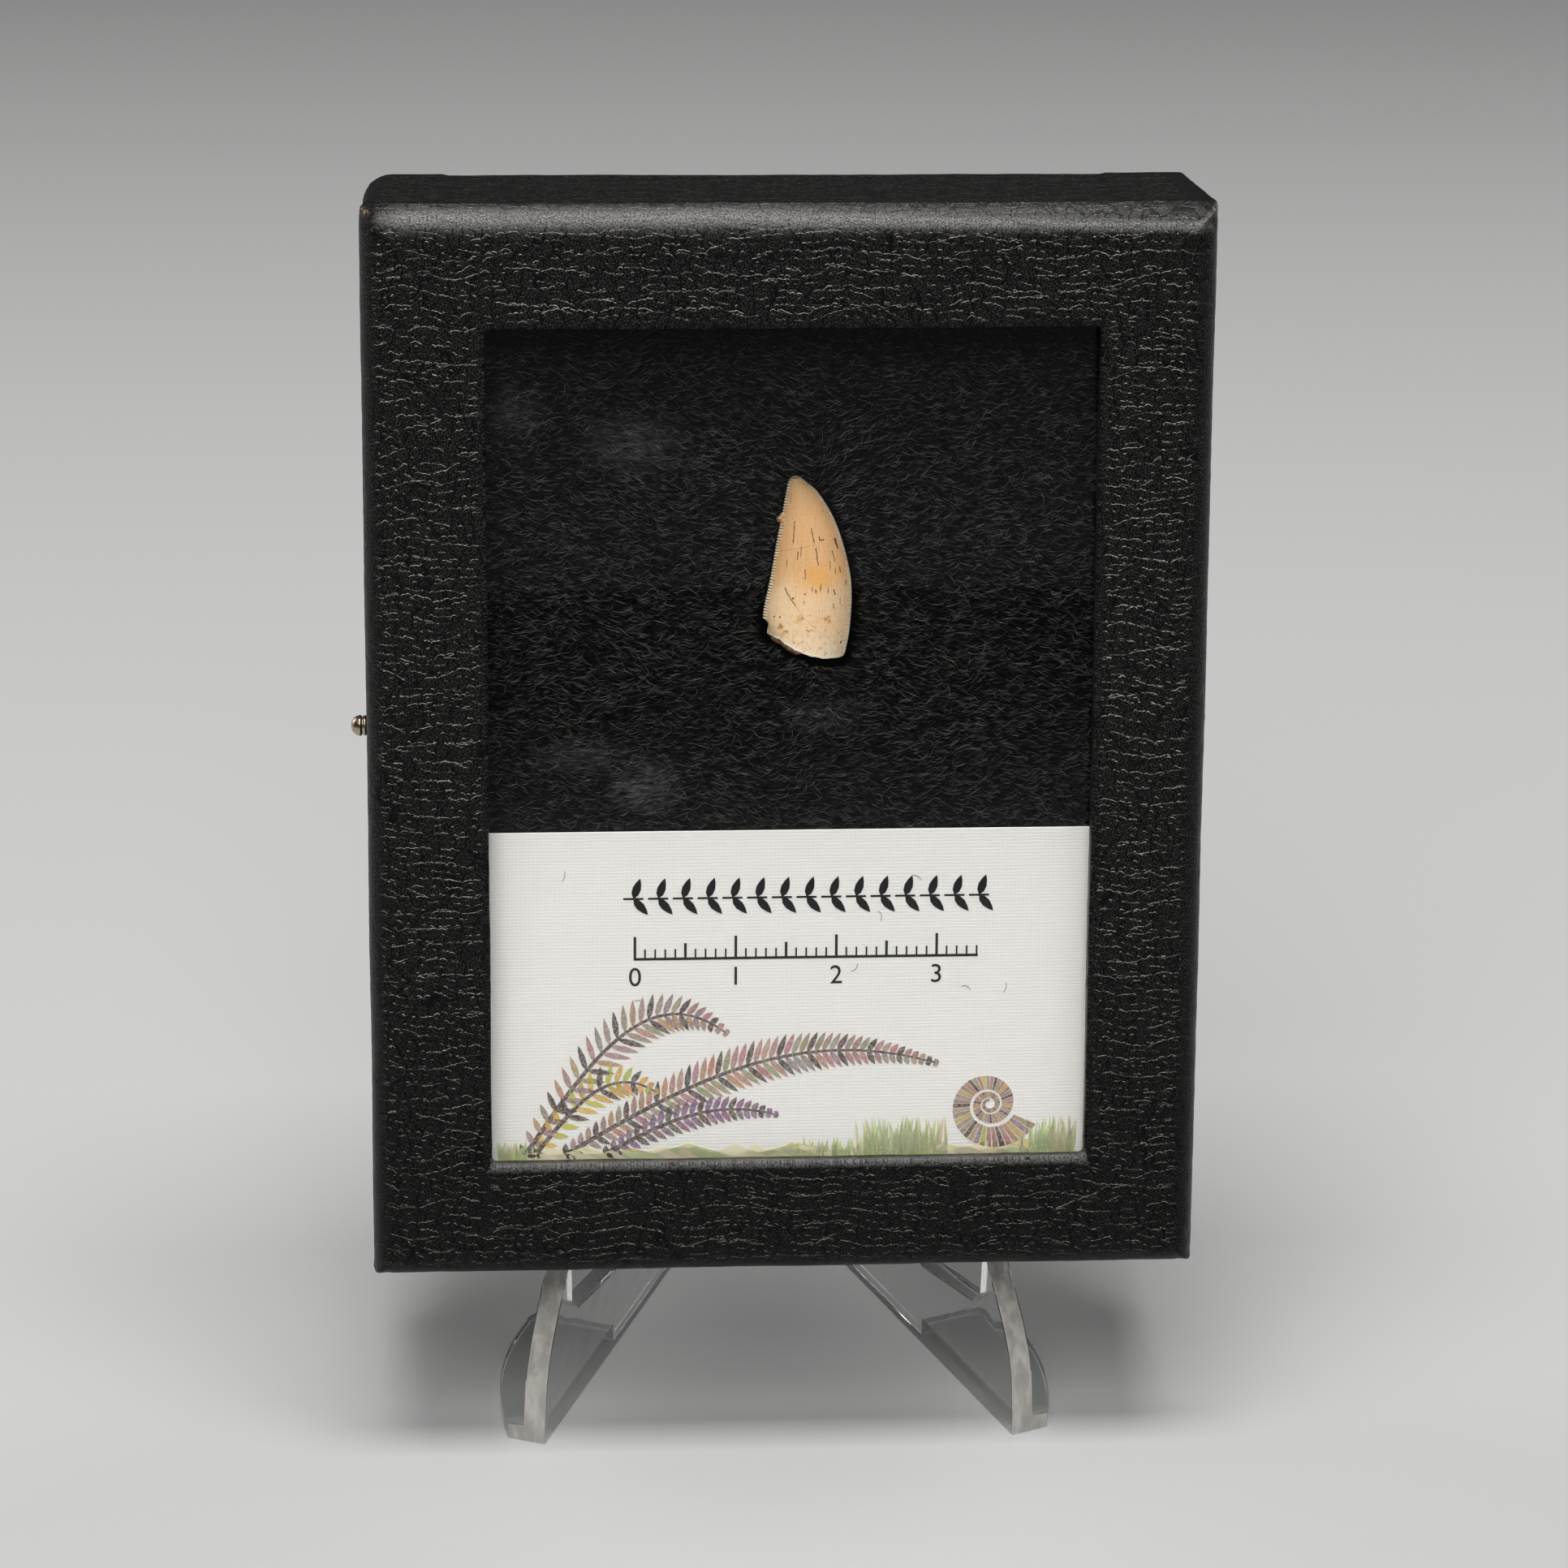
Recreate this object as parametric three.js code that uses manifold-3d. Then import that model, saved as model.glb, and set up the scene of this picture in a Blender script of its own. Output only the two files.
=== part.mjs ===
// A fossil tooth in a small display box that leans on a clear moulded easel.
//
// Units are millimetres. X runs to the right, Y away from the viewer, Z up.
// The origin is on the surface the easel stands on, at the centre of the whole object's box.
//
// The box is drawn upright in its own frame and then leaned back: x across, y the depth behind
// its front face, z up from its lower edge. The tooth and its label lie behind the pane.

import * as THREE from 'three';
import { mergeVertices } from 'three/addons/utils/BufferGeometryUtils.js';
import Module from 'manifold-3d';

const wasm = await Module();
wasm.setup();

// ---------------------------------------------------------------- driving dimensions

const GAP = 0.3;                  // clearance between pieces that touch

const BOX = { width: 82.5, height: 107.3, depth: 25.4 };
const LEAN = THREE.MathUtils.degToRad(10);
const BOX_EDGE_Y = -5.1;          // front lower edge of the box, from the easel's toe line
const BOX_EDGE_Z = 19.8;

const LID = { wall: 1.5, front: 1.6, edgeRound: 1.8, cornerRound: 2.0 };
const WINDOW = { width: 58.9, height: 83.4, shiftX: 0.26, cornerRound: 1.2, edgeRound: 0.75 };
const PANE_THICK = 1.2;
const TRAY = { wall: 1.3, back: 1.5, recess: 0.4 };

const CARD = { height: 41.8, thick: 0.3 };
const PIN = { headRadius: 1.05, headThick: 1.6, shaftRadius: 0.32, length: 12, height: 54.0 };

const TOOTH = {
  centreX: 2.0,                   // middle of the crown, from the middle of the box
  baseZ: 61.7,                    // lowest point of the broken base
  bulgeFront: 2.5,
  bulgeBack: 2.2,
  baseDip: 1.0,                   // how far the front rim of the base hangs below its chord
  denticles: 52,
  denticleLeft: 0.11,
  denticleRight: 0.07,
  around: 20,
  capRows: 4,
};

const EASEL = {
  halfAngle: THREE.MathUtils.degToRad(21.9),
  toeX: 23.84,                    // inner front corner of a toe, from the easel's middle
  toeY: -4.4,
  shiftX: -0.33,                  // the box was set down a little off the easel's middle
  webThick: 2.4,
  footThick: 1.9,
  spineRadius: 2.7,
  spineHeight: 30,
  webEnd: 67,
  postTop: 72,
  postWidth: 6.2,
};

// ---------------------------------------------------------------- joining and cutting

// Merges shared corners and drops the triangles that have shrunk to nothing at poles and seams.
function toSolid(geometry) {
  const bare = geometry.clone();
  bare.deleteAttribute('normal');
  bare.deleteAttribute('uv');
  const merged = mergeVertices(bare, 1e-4);
  const index = merged.index.array;
  const triangles = [];
  for (let i = 0; i < index.length; i += 3) {
    const [a, b, c] = index.slice(i, i + 3);
    if (a !== b && b !== c && c !== a) triangles.push(a, b, c);
  }
  return new wasm.Manifold(new wasm.Mesh({
    numProp: 3,
    vertProperties: new Float32Array(merged.attributes.position.array),
    triVerts: new Uint32Array(triangles),
  }));
}

function toGeometry(solid) {
  const mesh = solid.getMesh();
  const geometry = new THREE.BufferGeometry();
  geometry.setAttribute('position', new THREE.BufferAttribute(new Float32Array(mesh.vertProperties), 3));
  geometry.setIndex(new THREE.BufferAttribute(new Uint32Array(mesh.triVerts), 1));
  geometry.computeVertexNormals();
  return geometry;
}

function join(...geometries) {
  return toGeometry(geometries.map(toSolid).reduce((all, next) => all.add(next)));
}

function cut(geometry, ...tools) {
  return toGeometry(tools.map(toSolid).reduce((rest, tool) => rest.subtract(tool), toSolid(geometry)));
}

function mirrorX(geometry) {
  return toGeometry(toSolid(geometry).mirror([1, 0, 0]));
}

// ---------------------------------------------------------------- shared shapes of the box

// A block from one corner to the other, in the box's frame.
function block(from, to) {
  const size = to.map((value, axis) => value - from[axis]);
  const middle = to.map((value, axis) => (value + from[axis]) / 2);
  return new THREE.BoxGeometry(...size).translate(...middle);
}

function roundedOutline(ShapeClass, width, height, radius) {
  const x = width / 2;
  const y = height / 2;
  const outline = new ShapeClass();
  outline.absarc(x - radius, -y + radius, radius, -Math.PI / 2, 0);
  outline.absarc(x - radius, y - radius, radius, 0, Math.PI / 2);
  outline.absarc(-x + radius, y - radius, radius, Math.PI / 2, Math.PI);
  outline.absarc(-x + radius, -y + radius, radius, Math.PI, Math.PI * 1.5);
  return outline;
}

// Extrudes an outline from the front face of the box backwards; `round` eases its front edges.
function panel(outline, thick, round) {
  const geometry = new THREE.ExtrudeGeometry(outline, {
    depth: thick - 2 * round,
    bevelEnabled: round > 0,
    bevelThickness: round,
    bevelSize: round,
    bevelOffset: -round,
    bevelSegments: 3,
    curveSegments: 3,
  });
  return geometry.rotateX(Math.PI / 2).translate(0, thick - round, BOX.height / 2);
}

function pinHole(side) {
  const hole = new THREE.CylinderGeometry(PIN.shaftRadius + GAP, PIN.shaftRadius + GAP, PIN.length + 4, 12);
  return hole.rotateZ(Math.PI / 2).translate(side * (BOX.width / 2 - PIN.length / 2), BOX.depth / 2, PIN.height);
}

// ---------------------------------------------------------------- the lid

// The lid is a shallow box of covered board, open behind, with a window in its face.
function lidGeometry() {
  const shell = panel(roundedOutline(THREE.Shape, BOX.width, BOX.height, LID.cornerRound),
    BOX.depth + LID.edgeRound, LID.edgeRound);
  const behind = block([-BOX.width, BOX.depth, -10], [BOX.width, BOX.depth + 20, BOX.height + 10]);
  const x = BOX.width / 2 - LID.wall;
  const hollow = block([-x, LID.front, LID.wall], [x, BOX.depth + 1, BOX.height - LID.wall]);

  const lap = 2.5;
  const roughWindow = block(
    [WINDOW.shiftX - WINDOW.width / 2 - lap, -1, (BOX.height - WINDOW.height) / 2 - lap],
    [WINDOW.shiftX + WINDOW.width / 2 + lap, LID.front + 1, (BOX.height + WINDOW.height) / 2 + lap]);
  const frame = roundedOutline(THREE.Shape, WINDOW.width + 4 * lap, WINDOW.height + 4 * lap, WINDOW.cornerRound);
  frame.holes.push(roundedOutline(THREE.Path, WINDOW.width, WINDOW.height, WINDOW.cornerRound));
  const windowEdge = panel(frame, LID.front, WINDOW.edgeRound).translate(WINDOW.shiftX, 0, 0);

  const faced = join(cut(shell, behind, hollow, roughWindow), windowEdge);
  return cut(faced, pinHole(-1), pinHole(1));
}

// ---------------------------------------------------------------- pane and tray

const INSIDE_X = BOX.width / 2 - LID.wall - GAP;
const PANE_FRONT = LID.front + GAP;
const PANE_BACK = PANE_FRONT + PANE_THICK;
const TRAY_FRONT = PANE_BACK + GAP;
const TRAY_BACK = BOX.depth - TRAY.recess;

function paneGeometry() {
  const edge = LID.wall + GAP;
  return block([-INSIDE_X, PANE_FRONT, edge], [INSIDE_X, PANE_BACK, BOX.height - edge]);
}

// The tray slides into the lid from behind and holds the filling against the pane.
function trayGeometry() {
  const edge = LID.wall + GAP;
  const outside = block([-INSIDE_X, TRAY_FRONT, edge], [INSIDE_X, TRAY_BACK, BOX.height - edge]);
  const x = INSIDE_X - TRAY.wall;
  const inner = edge + TRAY.wall;
  const hollow = block([-x, TRAY_FRONT - 1, inner], [x, TRAY_BACK - TRAY.back, BOX.height - inner]);
  return cut(outside, hollow, pinHole(-1), pinHole(1));
}

// ---------------------------------------------------------------- filling and label card

const CONTENTS_X = INSIDE_X - TRAY.wall - GAP;
const CONTENTS_EDGE = LID.wall + TRAY.wall + 2 * GAP;
const CARD_FRONT = PANE_BACK + GAP;
const FILLING_FRONT = CARD_FRONT + CARD.thick + GAP;

function cardGeometry() {
  return block([-CONTENTS_X, CARD_FRONT, CONTENTS_EDGE],
    [CONTENTS_X, CARD_FRONT + CARD.thick, CONTENTS_EDGE + CARD.height]);
}

// The filling is a pad of fibre with a nest pressed into it in which the tooth lies.
function fillingGeometry() {
  const pad = block([-CONTENTS_X, FILLING_FRONT, CONTENTS_EDGE],
    [CONTENTS_X, TRAY_BACK - TRAY.back - GAP, BOX.height - CONTENTS_EDGE]);
  const nest = toothGeometry({ denticles: 14, serrated: false, around: 16, grow: 0.45 });
  return cut(pad, nest, pinHole(-1), pinHole(1));
}

// ---------------------------------------------------------------- the tooth

// Edges of the crown from the broken base to the tip: across from the box's middle, up from the
// lowest point of the base. The left edge is the nearly straight, coarsely toothed one.
const LEFT_EDGE = new THREE.SplineCurve([
  [-1.7, 2.7], [-1.8, 3.5], [-2.3, 4.1], [-2.1, 5.6], [-1.5, 8.2],
  [-0.85, 11.8], [-0.3, 14.7], [0.2, 16.9], [0.5, 17.8], [1.05, 18.3],
].map(([x, y]) => new THREE.Vector2(x, y)));
const RIGHT_EDGE = new THREE.SplineCurve([
  [5.6, 0.35], [6.2, 2.6], [6.5, 5.6], [6.35, 8.0], [5.75, 11.0],
  [4.7, 14.1], [3.4, 16.3], [2.1, 17.75], [1.05, 18.3],
].map(([x, y]) => new THREE.Vector2(x, y)));

// A grain of matrix still sticks to the left edge.
const GRAIN = { height: 14.2, spread: 0.32, size: 0.55 };

function toothGeometry({ denticles, serrated, around, grow = 0 }) {
  const crownRows = denticles * 2;
  const rows = crownRows + TOOTH.capRows;
  const geometry = new THREE.SphereGeometry(1, around, rows);
  const position = geometry.attributes.position;
  const middleY = PANE_BACK + GAP + TOOTH.bulgeFront;

  for (let i = 0; i < position.count; i += 1) {
    const row = Math.floor(i / (around + 1));
    const turn = (2 * Math.PI * (i % (around + 1) % around)) / around;
    const crownRow = Math.min(row, crownRows);
    const rise = 1 - crownRow / crownRows;
    const across = row === 0 ? 0 : -Math.cos(turn);
    const out = row === 0 ? 0 : Math.sin(turn);

    const left = LEFT_EDGE.getPointAt(rise);
    const right = RIGHT_EDGE.getPointAt(rise);
    const bead = serrated && row > 2 && row < crownRows - 4 && row % 2 === 0 ? 1 : 0;
    left.x -= bead * TOOTH.denticleLeft;
    right.x += bead * TOOTH.denticleRight;
    left.x -= GRAIN.size * Math.exp(-(((left.y - GRAIN.height) / GRAIN.spread) ** 2));

    const middle = left.clone().add(right).multiplyScalar(0.5);
    const chord = right.clone().sub(left).multiplyScalar(0.5 * across);
    const slim = Math.pow(Math.max(1 - across * across, 0), 0.72);
    const bulge = (out > 0 ? TOOTH.bulgeFront : -TOOTH.bulgeBack) * Math.sqrt(1 - rise) * slim;
    const dip = (out > 0 ? 1 : 0.3) * TOOTH.baseDip * slim * Math.exp(-rise / 0.07);

    // The last rows draw in over the broken base and hollow it a little.
    const inward = row <= crownRows ? 0 : (row - crownRows) / TOOTH.capRows;
    const keep = 1 - inward;
    const x = middle.x + chord.x * keep;
    const z = middle.y + chord.y * keep - dip * keep + 0.5 * inward;
    position.setXYZ(i, x, middleY - bulge * keep, TOOTH.baseZ + z);
  }

  const size = new THREE.Vector3(8.8, 4.7, 18.3);
  const stretch = size.clone().addScalar(2 * grow).divide(size);
  const centre = new THREE.Vector3(TOOTH.centreX, middleY, TOOTH.baseZ + size.z / 2);
  geometry.translate(-centre.x, -centre.y, -centre.z);
  geometry.scale(stretch.x, stretch.y, stretch.z);
  return join(geometry.translate(centre.x, centre.y, centre.z));
}

// ---------------------------------------------------------------- the pins

// A domed head on a short neck, and a shaft through the walls of lid and tray into the filling.
function pinGeometry() {
  const profile = [
    [0, -PIN.length], [PIN.shaftRadius, 2.4 - PIN.length], [PIN.shaftRadius, 0],
    [PIN.headRadius * 0.62, 0], [PIN.headRadius * 0.62, PIN.headThick * 0.25],
    [PIN.headRadius, PIN.headThick * 0.3], [PIN.headRadius, PIN.headThick * 0.55],
    [PIN.headRadius * 0.7, PIN.headThick * 0.88], [0, PIN.headThick],
  ].map(([r, h]) => new THREE.Vector2(r, h));
  return join(new THREE.LatheGeometry(profile, 16)
    .rotateZ(-Math.PI / 2)
    .translate(BOX.width / 2, BOX.depth / 2, PIN.height));
}

// ---------------------------------------------------------------- the easel

const BACK_EDGE_Y = BOX_EDGE_Y + BOX.depth * Math.cos(LEAN);
const BACK_EDGE_Z = BOX_EDGE_Z - BOX.depth * Math.sin(LEAN);

// Distance along a web at which its inner face meets the box's back, at a height above the table.
function backOfBox(height) {
  const y = BACK_EDGE_Y + GAP / Math.cos(LEAN) + (height - BACK_EDGE_Z) * Math.tan(LEAN);
  return (y - EASEL.toeY) / Math.cos(EASEL.halfAngle);
}

// Side view of one web: distance along it from the toe, and height.
function webOutline() {
  const postFront = backOfBox(15);
  const postTop = backOfBox(EASEL.postTop);
  const web = new THREE.Shape();
  web.moveTo(0, 0);
  web.lineTo(EASEL.webEnd, 0);
  web.lineTo(EASEL.webEnd, EASEL.spineHeight);
  web.lineTo(postTop + EASEL.postWidth, EASEL.postTop - 1);
  web.quadraticCurveTo(postTop + EASEL.postWidth - 1, EASEL.postTop + 2, postTop + 2, EASEL.postTop + 1.6);
  web.quadraticCurveTo(postTop, EASEL.postTop + 1.4, postTop, EASEL.postTop);
  web.lineTo(postFront, 15);
  web.lineTo(postFront - 1.6, 15.15);
  web.quadraticCurveTo(postFront - 2.2, 9.6, postFront - 6, 9.3);
  web.lineTo(9.6, 11.0);
  web.lineTo(8.0, 12.4);
  web.lineTo(7.8, 17.4);
  web.quadraticCurveTo(7.4, 18.1, 6.9, 17.5);
  web.bezierCurveTo(4.6, 13.6, 0.4, 10.2, 0.3, 4.5);
  web.lineTo(0, 1.9);

  const bar = 12;
  const hole = new THREE.Path();
  hole.moveTo(backOfBox(bar) + EASEL.postWidth, bar);
  hole.lineTo(EASEL.webEnd - 9, bar);
  hole.lineTo(EASEL.webEnd - 9, EASEL.spineHeight - 3);
  hole.lineTo(backOfBox(58) + EASEL.postWidth + 1.5, 58);
  hole.lineTo(backOfBox(58) + EASEL.postWidth, 57);
  web.holes.push(hole);
  return web;
}

// Plan of one foot: distance out from the web's inner face, and distance along the web.
function footOutline() {
  const foot = new THREE.Shape();
  foot.moveTo(0, 0);
  foot.lineTo(4.1, 0);
  foot.lineTo(5.0, 1.4);
  foot.bezierCurveTo(7.4, 5.6, 9.6, 11, 9.7, 18);
  foot.lineTo(9.7, 21);
  foot.lineTo(9.1, 22);
  foot.lineTo(0, 22);
  return foot;
}

// The easel is one moulding: two upright webs that meet in a spine, each with a foot, a lip in
// front, a seat behind it and a leaning post, and a hole that lightens it.
function easelGeometry() {
  const { halfAngle, toeX, toeY, webThick, footThick } = EASEL;
  const along = new THREE.Vector3(-Math.sin(halfAngle), Math.cos(halfAngle), 0);
  const outward = new THREE.Vector3(Math.cos(halfAngle), Math.sin(halfAngle), 0);
  const up = new THREE.Vector3(0, 0, 1);

  const web = new THREE.ExtrudeGeometry(webOutline(), { depth: webThick, bevelEnabled: false, curveSegments: 7 });
  web.applyMatrix4(new THREE.Matrix4().makeBasis(along, up, outward).setPosition(toeX, toeY, 0));
  const foot = new THREE.ExtrudeGeometry(footOutline(), { depth: footThick, bevelEnabled: false, curveSegments: 7 });
  foot.applyMatrix4(new THREE.Matrix4().makeBasis(outward, along, up).setPosition(toeX, toeY, 0));

  const spineY = toeY + EASEL.webEnd * Math.cos(halfAngle) + webThick / 2 * Math.sin(halfAngle);
  const spine = new THREE.CylinderGeometry(EASEL.spineRadius, EASEL.spineRadius, EASEL.spineHeight, 20)
    .rotateX(Math.PI / 2)
    .translate(0, spineY, EASEL.spineHeight / 2);
  return join(web, foot, mirrorX(web), mirrorX(foot), spine);
}

// ---------------------------------------------------------------- materials and assembly

function material(color, roughness, metalness = 0, extra = {}) {
  return new THREE.MeshStandardMaterial({ color, roughness, metalness, ...extra });
}

const LEATHERETTE = material(0x151413, 0.55);
const BOARD = material(0x1a1817, 0.8);
const CLEAR = material(0xf4f6f5, 0.05, 0, { transparent: true, opacity: 0.2 });
const FIBRE = material(0x0b0b0c, 0.95);
const PAPER = material(0xe9e6dc, 0.9);
const ENAMEL = material(0xd8a877, 0.45);
const STEEL = material(0xb9b4a6, 0.25, 1);
const ACRYLIC = material(0xe6e8e4, 0.08, 0, { transparent: true, opacity: 0.35 });

function part(name, geometry, finish) {
  const mesh = new THREE.Mesh(geometry, finish);
  mesh.name = name;
  return mesh;
}

const displayBox = new THREE.Group();
displayBox.add(
  part('lid', lidGeometry(), LEATHERETTE),
  part('window_pane', paneGeometry(), CLEAR),
  part('tray', trayGeometry(), BOARD),
  part('filling', fillingGeometry(), FIBRE),
  part('label_card', cardGeometry(), PAPER),
  part('tooth', toothGeometry({ denticles: TOOTH.denticles, serrated: true, around: TOOTH.around }), ENAMEL),
  part('pin_right', pinGeometry(), STEEL),
  part('pin_left', mirrorX(pinGeometry()), STEEL),
);
displayBox.position.set(0, BOX_EDGE_Y, BOX_EDGE_Z);
displayBox.rotation.x = -LEAN;

const easel = part('easel', easelGeometry(), ACRYLIC);
easel.position.x = EASEL.shiftX;

const object = new THREE.Group();
object.add(displayBox, easel);

// Bring the centre of the whole object's footprint to the origin.
object.updateMatrixWorld(true);
const extent = new THREE.Box3().setFromObject(object, true);
const middle = extent.getCenter(new THREE.Vector3());
object.position.set(-middle.x, -middle.y, -extent.min.z);

export default object;
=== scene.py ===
import math
import random

import bmesh
import bpy
import numpy as np
from mathutils import Matrix, Vector, noise


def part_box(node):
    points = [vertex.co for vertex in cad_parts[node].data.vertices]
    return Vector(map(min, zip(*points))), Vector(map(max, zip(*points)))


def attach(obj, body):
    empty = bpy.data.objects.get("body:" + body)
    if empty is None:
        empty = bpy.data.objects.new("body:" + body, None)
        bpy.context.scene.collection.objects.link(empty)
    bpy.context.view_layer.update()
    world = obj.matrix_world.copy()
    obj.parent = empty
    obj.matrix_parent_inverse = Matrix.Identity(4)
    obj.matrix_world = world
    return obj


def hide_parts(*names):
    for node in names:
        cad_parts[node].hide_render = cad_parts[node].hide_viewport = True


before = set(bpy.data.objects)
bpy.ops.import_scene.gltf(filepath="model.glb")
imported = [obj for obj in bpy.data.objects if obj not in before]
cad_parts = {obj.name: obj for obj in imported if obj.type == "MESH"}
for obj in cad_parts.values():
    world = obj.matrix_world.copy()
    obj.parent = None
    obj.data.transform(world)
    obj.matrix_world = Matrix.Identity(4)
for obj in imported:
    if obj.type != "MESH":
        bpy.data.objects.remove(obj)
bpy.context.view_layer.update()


# ---------------------------------------------------------------- tray
# The lower half of the box: a shallow tray folded from black paper-covered board, pushed into the
# lid from behind, so that only its back shows, a hair inside the lid's wall.

lean = math.radians(10.0)
box_across, box_deep, box_high = 82.5, 25.4, 107.3

lid_low, lid_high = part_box("lid")
reach_back = (box_deep * math.cos(lean) + box_high * math.sin(lean)) / 1000
box_origin = Vector((0.0, lid_high.y - reach_back, lid_low.z + box_deep * math.sin(lean) / 1000))
box_turn = Matrix.Rotation(-lean, 4, "X")

# Takes millimetres in the box's own frame (across, deep, up from the lower edge) to the row frame.
from_box = Matrix.Translation(box_origin) @ box_turn @ Matrix.Scale(0.001, 4)


def add_node(tree, kind, wires=None, **settings):
    """Adds a shader node; wires gives an input's name or number a socket or a plain value."""
    node = tree.nodes.new("ShaderNode" + kind)
    for key, value in settings.items():
        setattr(node, key, value)
    for key, value in (wires or {}).items():
        if isinstance(value, bpy.types.NodeSocket):
            tree.links.new(value, node.inputs[key])
        else:
            node.inputs[key].default_value = value
    return node


def start_finish(name, roughness, specular=0.5):
    """A new material with its node tree and its main shader."""
    finish = bpy.data.materials.new(name)
    finish.use_nodes = True
    shader = finish.node_tree.nodes["Principled BSDF"]
    shader.inputs["Roughness"].default_value = roughness
    shader.inputs["Specular IOR Level"].default_value = specular
    return finish, finish.node_tree, shader


def tree_of(*values):
    """The node tree of the first socket among some values."""
    return next(value.id_data for value in values if isinstance(value, bpy.types.NodeSocket))


def box_place(tree):
    """Where a point is in the leaning box's own frame, in millimetres."""
    here = add_node(tree, "TexCoord").outputs["Object"]
    unlean = {"Vector": here, "Location": box_origin, "Rotation": (-lean, 0, 0), "Scale": (0.001,) * 3}
    return add_node(tree, "Mapping", unlean, vector_type="TEXTURE").outputs[0]


def vector(operation, *inputs):
    """A sum or product of vectors, or a measure of them."""
    node = add_node(tree_of(*inputs), "VectorMath", dict(enumerate(inputs)), operation=operation)
    return node.outputs["Value" if operation in ("LENGTH", "DISTANCE", "DOT_PRODUCT") else 0]


def stretched(place, scale):
    """A place scaled by its own amount along each axis, to squeeze or draw out a pattern."""
    return vector("MULTIPLY", place, scale)


def grain(place, scale, detail=2.0, roughness=0.5, output=0):
    """Cloudy noise: its value, or its three values with output="Color"."""
    wires = {"Vector": place, "Scale": scale, "Detail": detail, "Roughness": roughness}
    return add_node(tree_of(place), "TexNoise", wires).outputs[output]


def spread(value, low, high, to_low=0.0, to_high=1.0):
    """Maps a value from one range to another, with soft ends."""
    wires = {"Value": value, "From Min": low, "From Max": high, "To Min": to_low, "To Max": to_high}
    return add_node(tree_of(value), "MapRange", wires, interpolation_type="SMOOTHSTEP").outputs[0]


def reckon(operation, *inputs):
    """One step of plain arithmetic."""
    return add_node(tree_of(*inputs), "Math", dict(enumerate(inputs)), operation=operation).outputs[0]


def times(first, second):
    return reckon("MULTIPLY", first, second)


def tint(share, first, second):
    """Two colours mixed; a colour may be a socket or three plain values."""
    first, second = (c if isinstance(c, bpy.types.NodeSocket) else (*c, 1) for c in (first, second))
    return add_node(tree_of(share), "Mix", {0: share, 6: first, 7: second}, data_type="RGBA").outputs[2]


def feed(shader, name, value):
    """Wires a pattern to one of the shader's inputs."""
    shader.id_data.links.new(value, shader.inputs[name])


def relief(shader, height, deep_mm):
    """Raises the surface by a pattern that runs from 0 to 1."""
    bump = {"Height": height, "Distance": deep_mm / 1000, "Strength": 1.0}
    feed(shader, "Normal", add_node(shader.id_data, "Bump", bump).outputs[0])


def dress(name, finish):
    """Gives a finish to a piece that keeps the shape it has."""
    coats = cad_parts[name].data.materials
    coats.clear()
    coats.append(finish)


board, tree, shader = start_finish("black_board_paper", 0.62, 0.35)
place = box_place(tree)
pulp = grain(stretched(place, (1.0, 1.0, 0.6)), 1.6, 4.0, 0.65)
scuffs = spread(grain(stretched(place, (0.9, 0.9, 0.12)), 0.5, 5.0, 0.7), 0.62, 0.74)
ground = tint(spread(pulp, 0.35, 0.7), (0.014, 0.013, 0.013), (0.032, 0.030, 0.029))
feed(shader, "Base Color", tint(times(scuffs, 0.35), ground, (0.11, 0.10, 0.095)))
relief(shader, pulp, 0.05)
dress("tray", board)


# ---------------------------------------------------------------- filling
# A pad of black synthetic fibre, combed across the box and pressed against the pane. The tooth
# lies in a nest in it, and the fibres lean in round the tooth.

window_left, window_right = -29.25, 29.75
window_foot, window_top = 12.0, 95.4
filling_front, filling_back = 4.0, 23.2
filling_half, filling_foot, filling_top = 37.85, 3.4, 103.9
card_top = 45.2
tooth_middle = (2.2, 70.9)
nest_half, nest_deep = (5.6, 10.6), 3.8
fluff_sunk, fluff_deep = 0.45, 0.25


def clamp(value, least=0.0):
    """A share kept between its least value and 1."""
    return min(1.0, max(least, value))


def falloff(distance, width):
    """1 at no distance, falling off softly over a width."""
    return math.exp(-((distance / width) ** 2))


def layer_value(tree, name, output="Fac"):
    """The value that a mesh layer has at a point."""
    return add_node(tree, "Attribute", attribute_name=name).outputs[output]


def finish_piece(name, bm, finish, smooth=True, place=from_box):
    """Makes an object of a bmesh that is in box millimetres, rides it and names its slot."""
    bm.transform(place)
    mesh = bpy.data.meshes.new(name)
    bm.to_mesh(mesh)
    bm.free()
    return finish_mesh(name, mesh, finish, smooth)


def finish_mesh(name, mesh, finish, smooth=True):
    """Makes an object of a mesh that is already in its place."""
    mesh.materials.append(finish)
    if smooth:
        mesh.shade_smooth()
    else:
        mesh.shade_flat()
    piece = bpy.data.objects.new(name, mesh)
    bpy.context.scene.collection.objects.link(piece)
    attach(piece, "root")
    return piece


def comb_angle(across, up):
    """The way the fibres lie at a point, as an angle above the horizontal."""
    drift = noise.noise(Vector((across / 11, up / 8, 3.1)))
    curl = noise.noise(Vector((across / 3.0, up / 2.4, 7.7)))
    away = Vector((across - tooth_middle[0], (up - tooth_middle[1]) * 0.55))
    outward = math.atan2(away.y, away.x)
    if abs(outward) > math.pi / 2:
        outward -= math.copysign(math.pi, outward)
    near = falloff(away.length, 7.0)
    return (1 - near) * (0.45 * drift + 0.35 * curl) + near * (0.75 * outward - 0.12)


fibre, tree, shader = start_finish("black_fibre", 0.5, 0.12)
lightness = layer_value(tree, "lightness")
feed(shader, "Base Color", tint(lightness, (0.0006, 0.0006, 0.0006), (0.16, 0.156, 0.153)))

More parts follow.
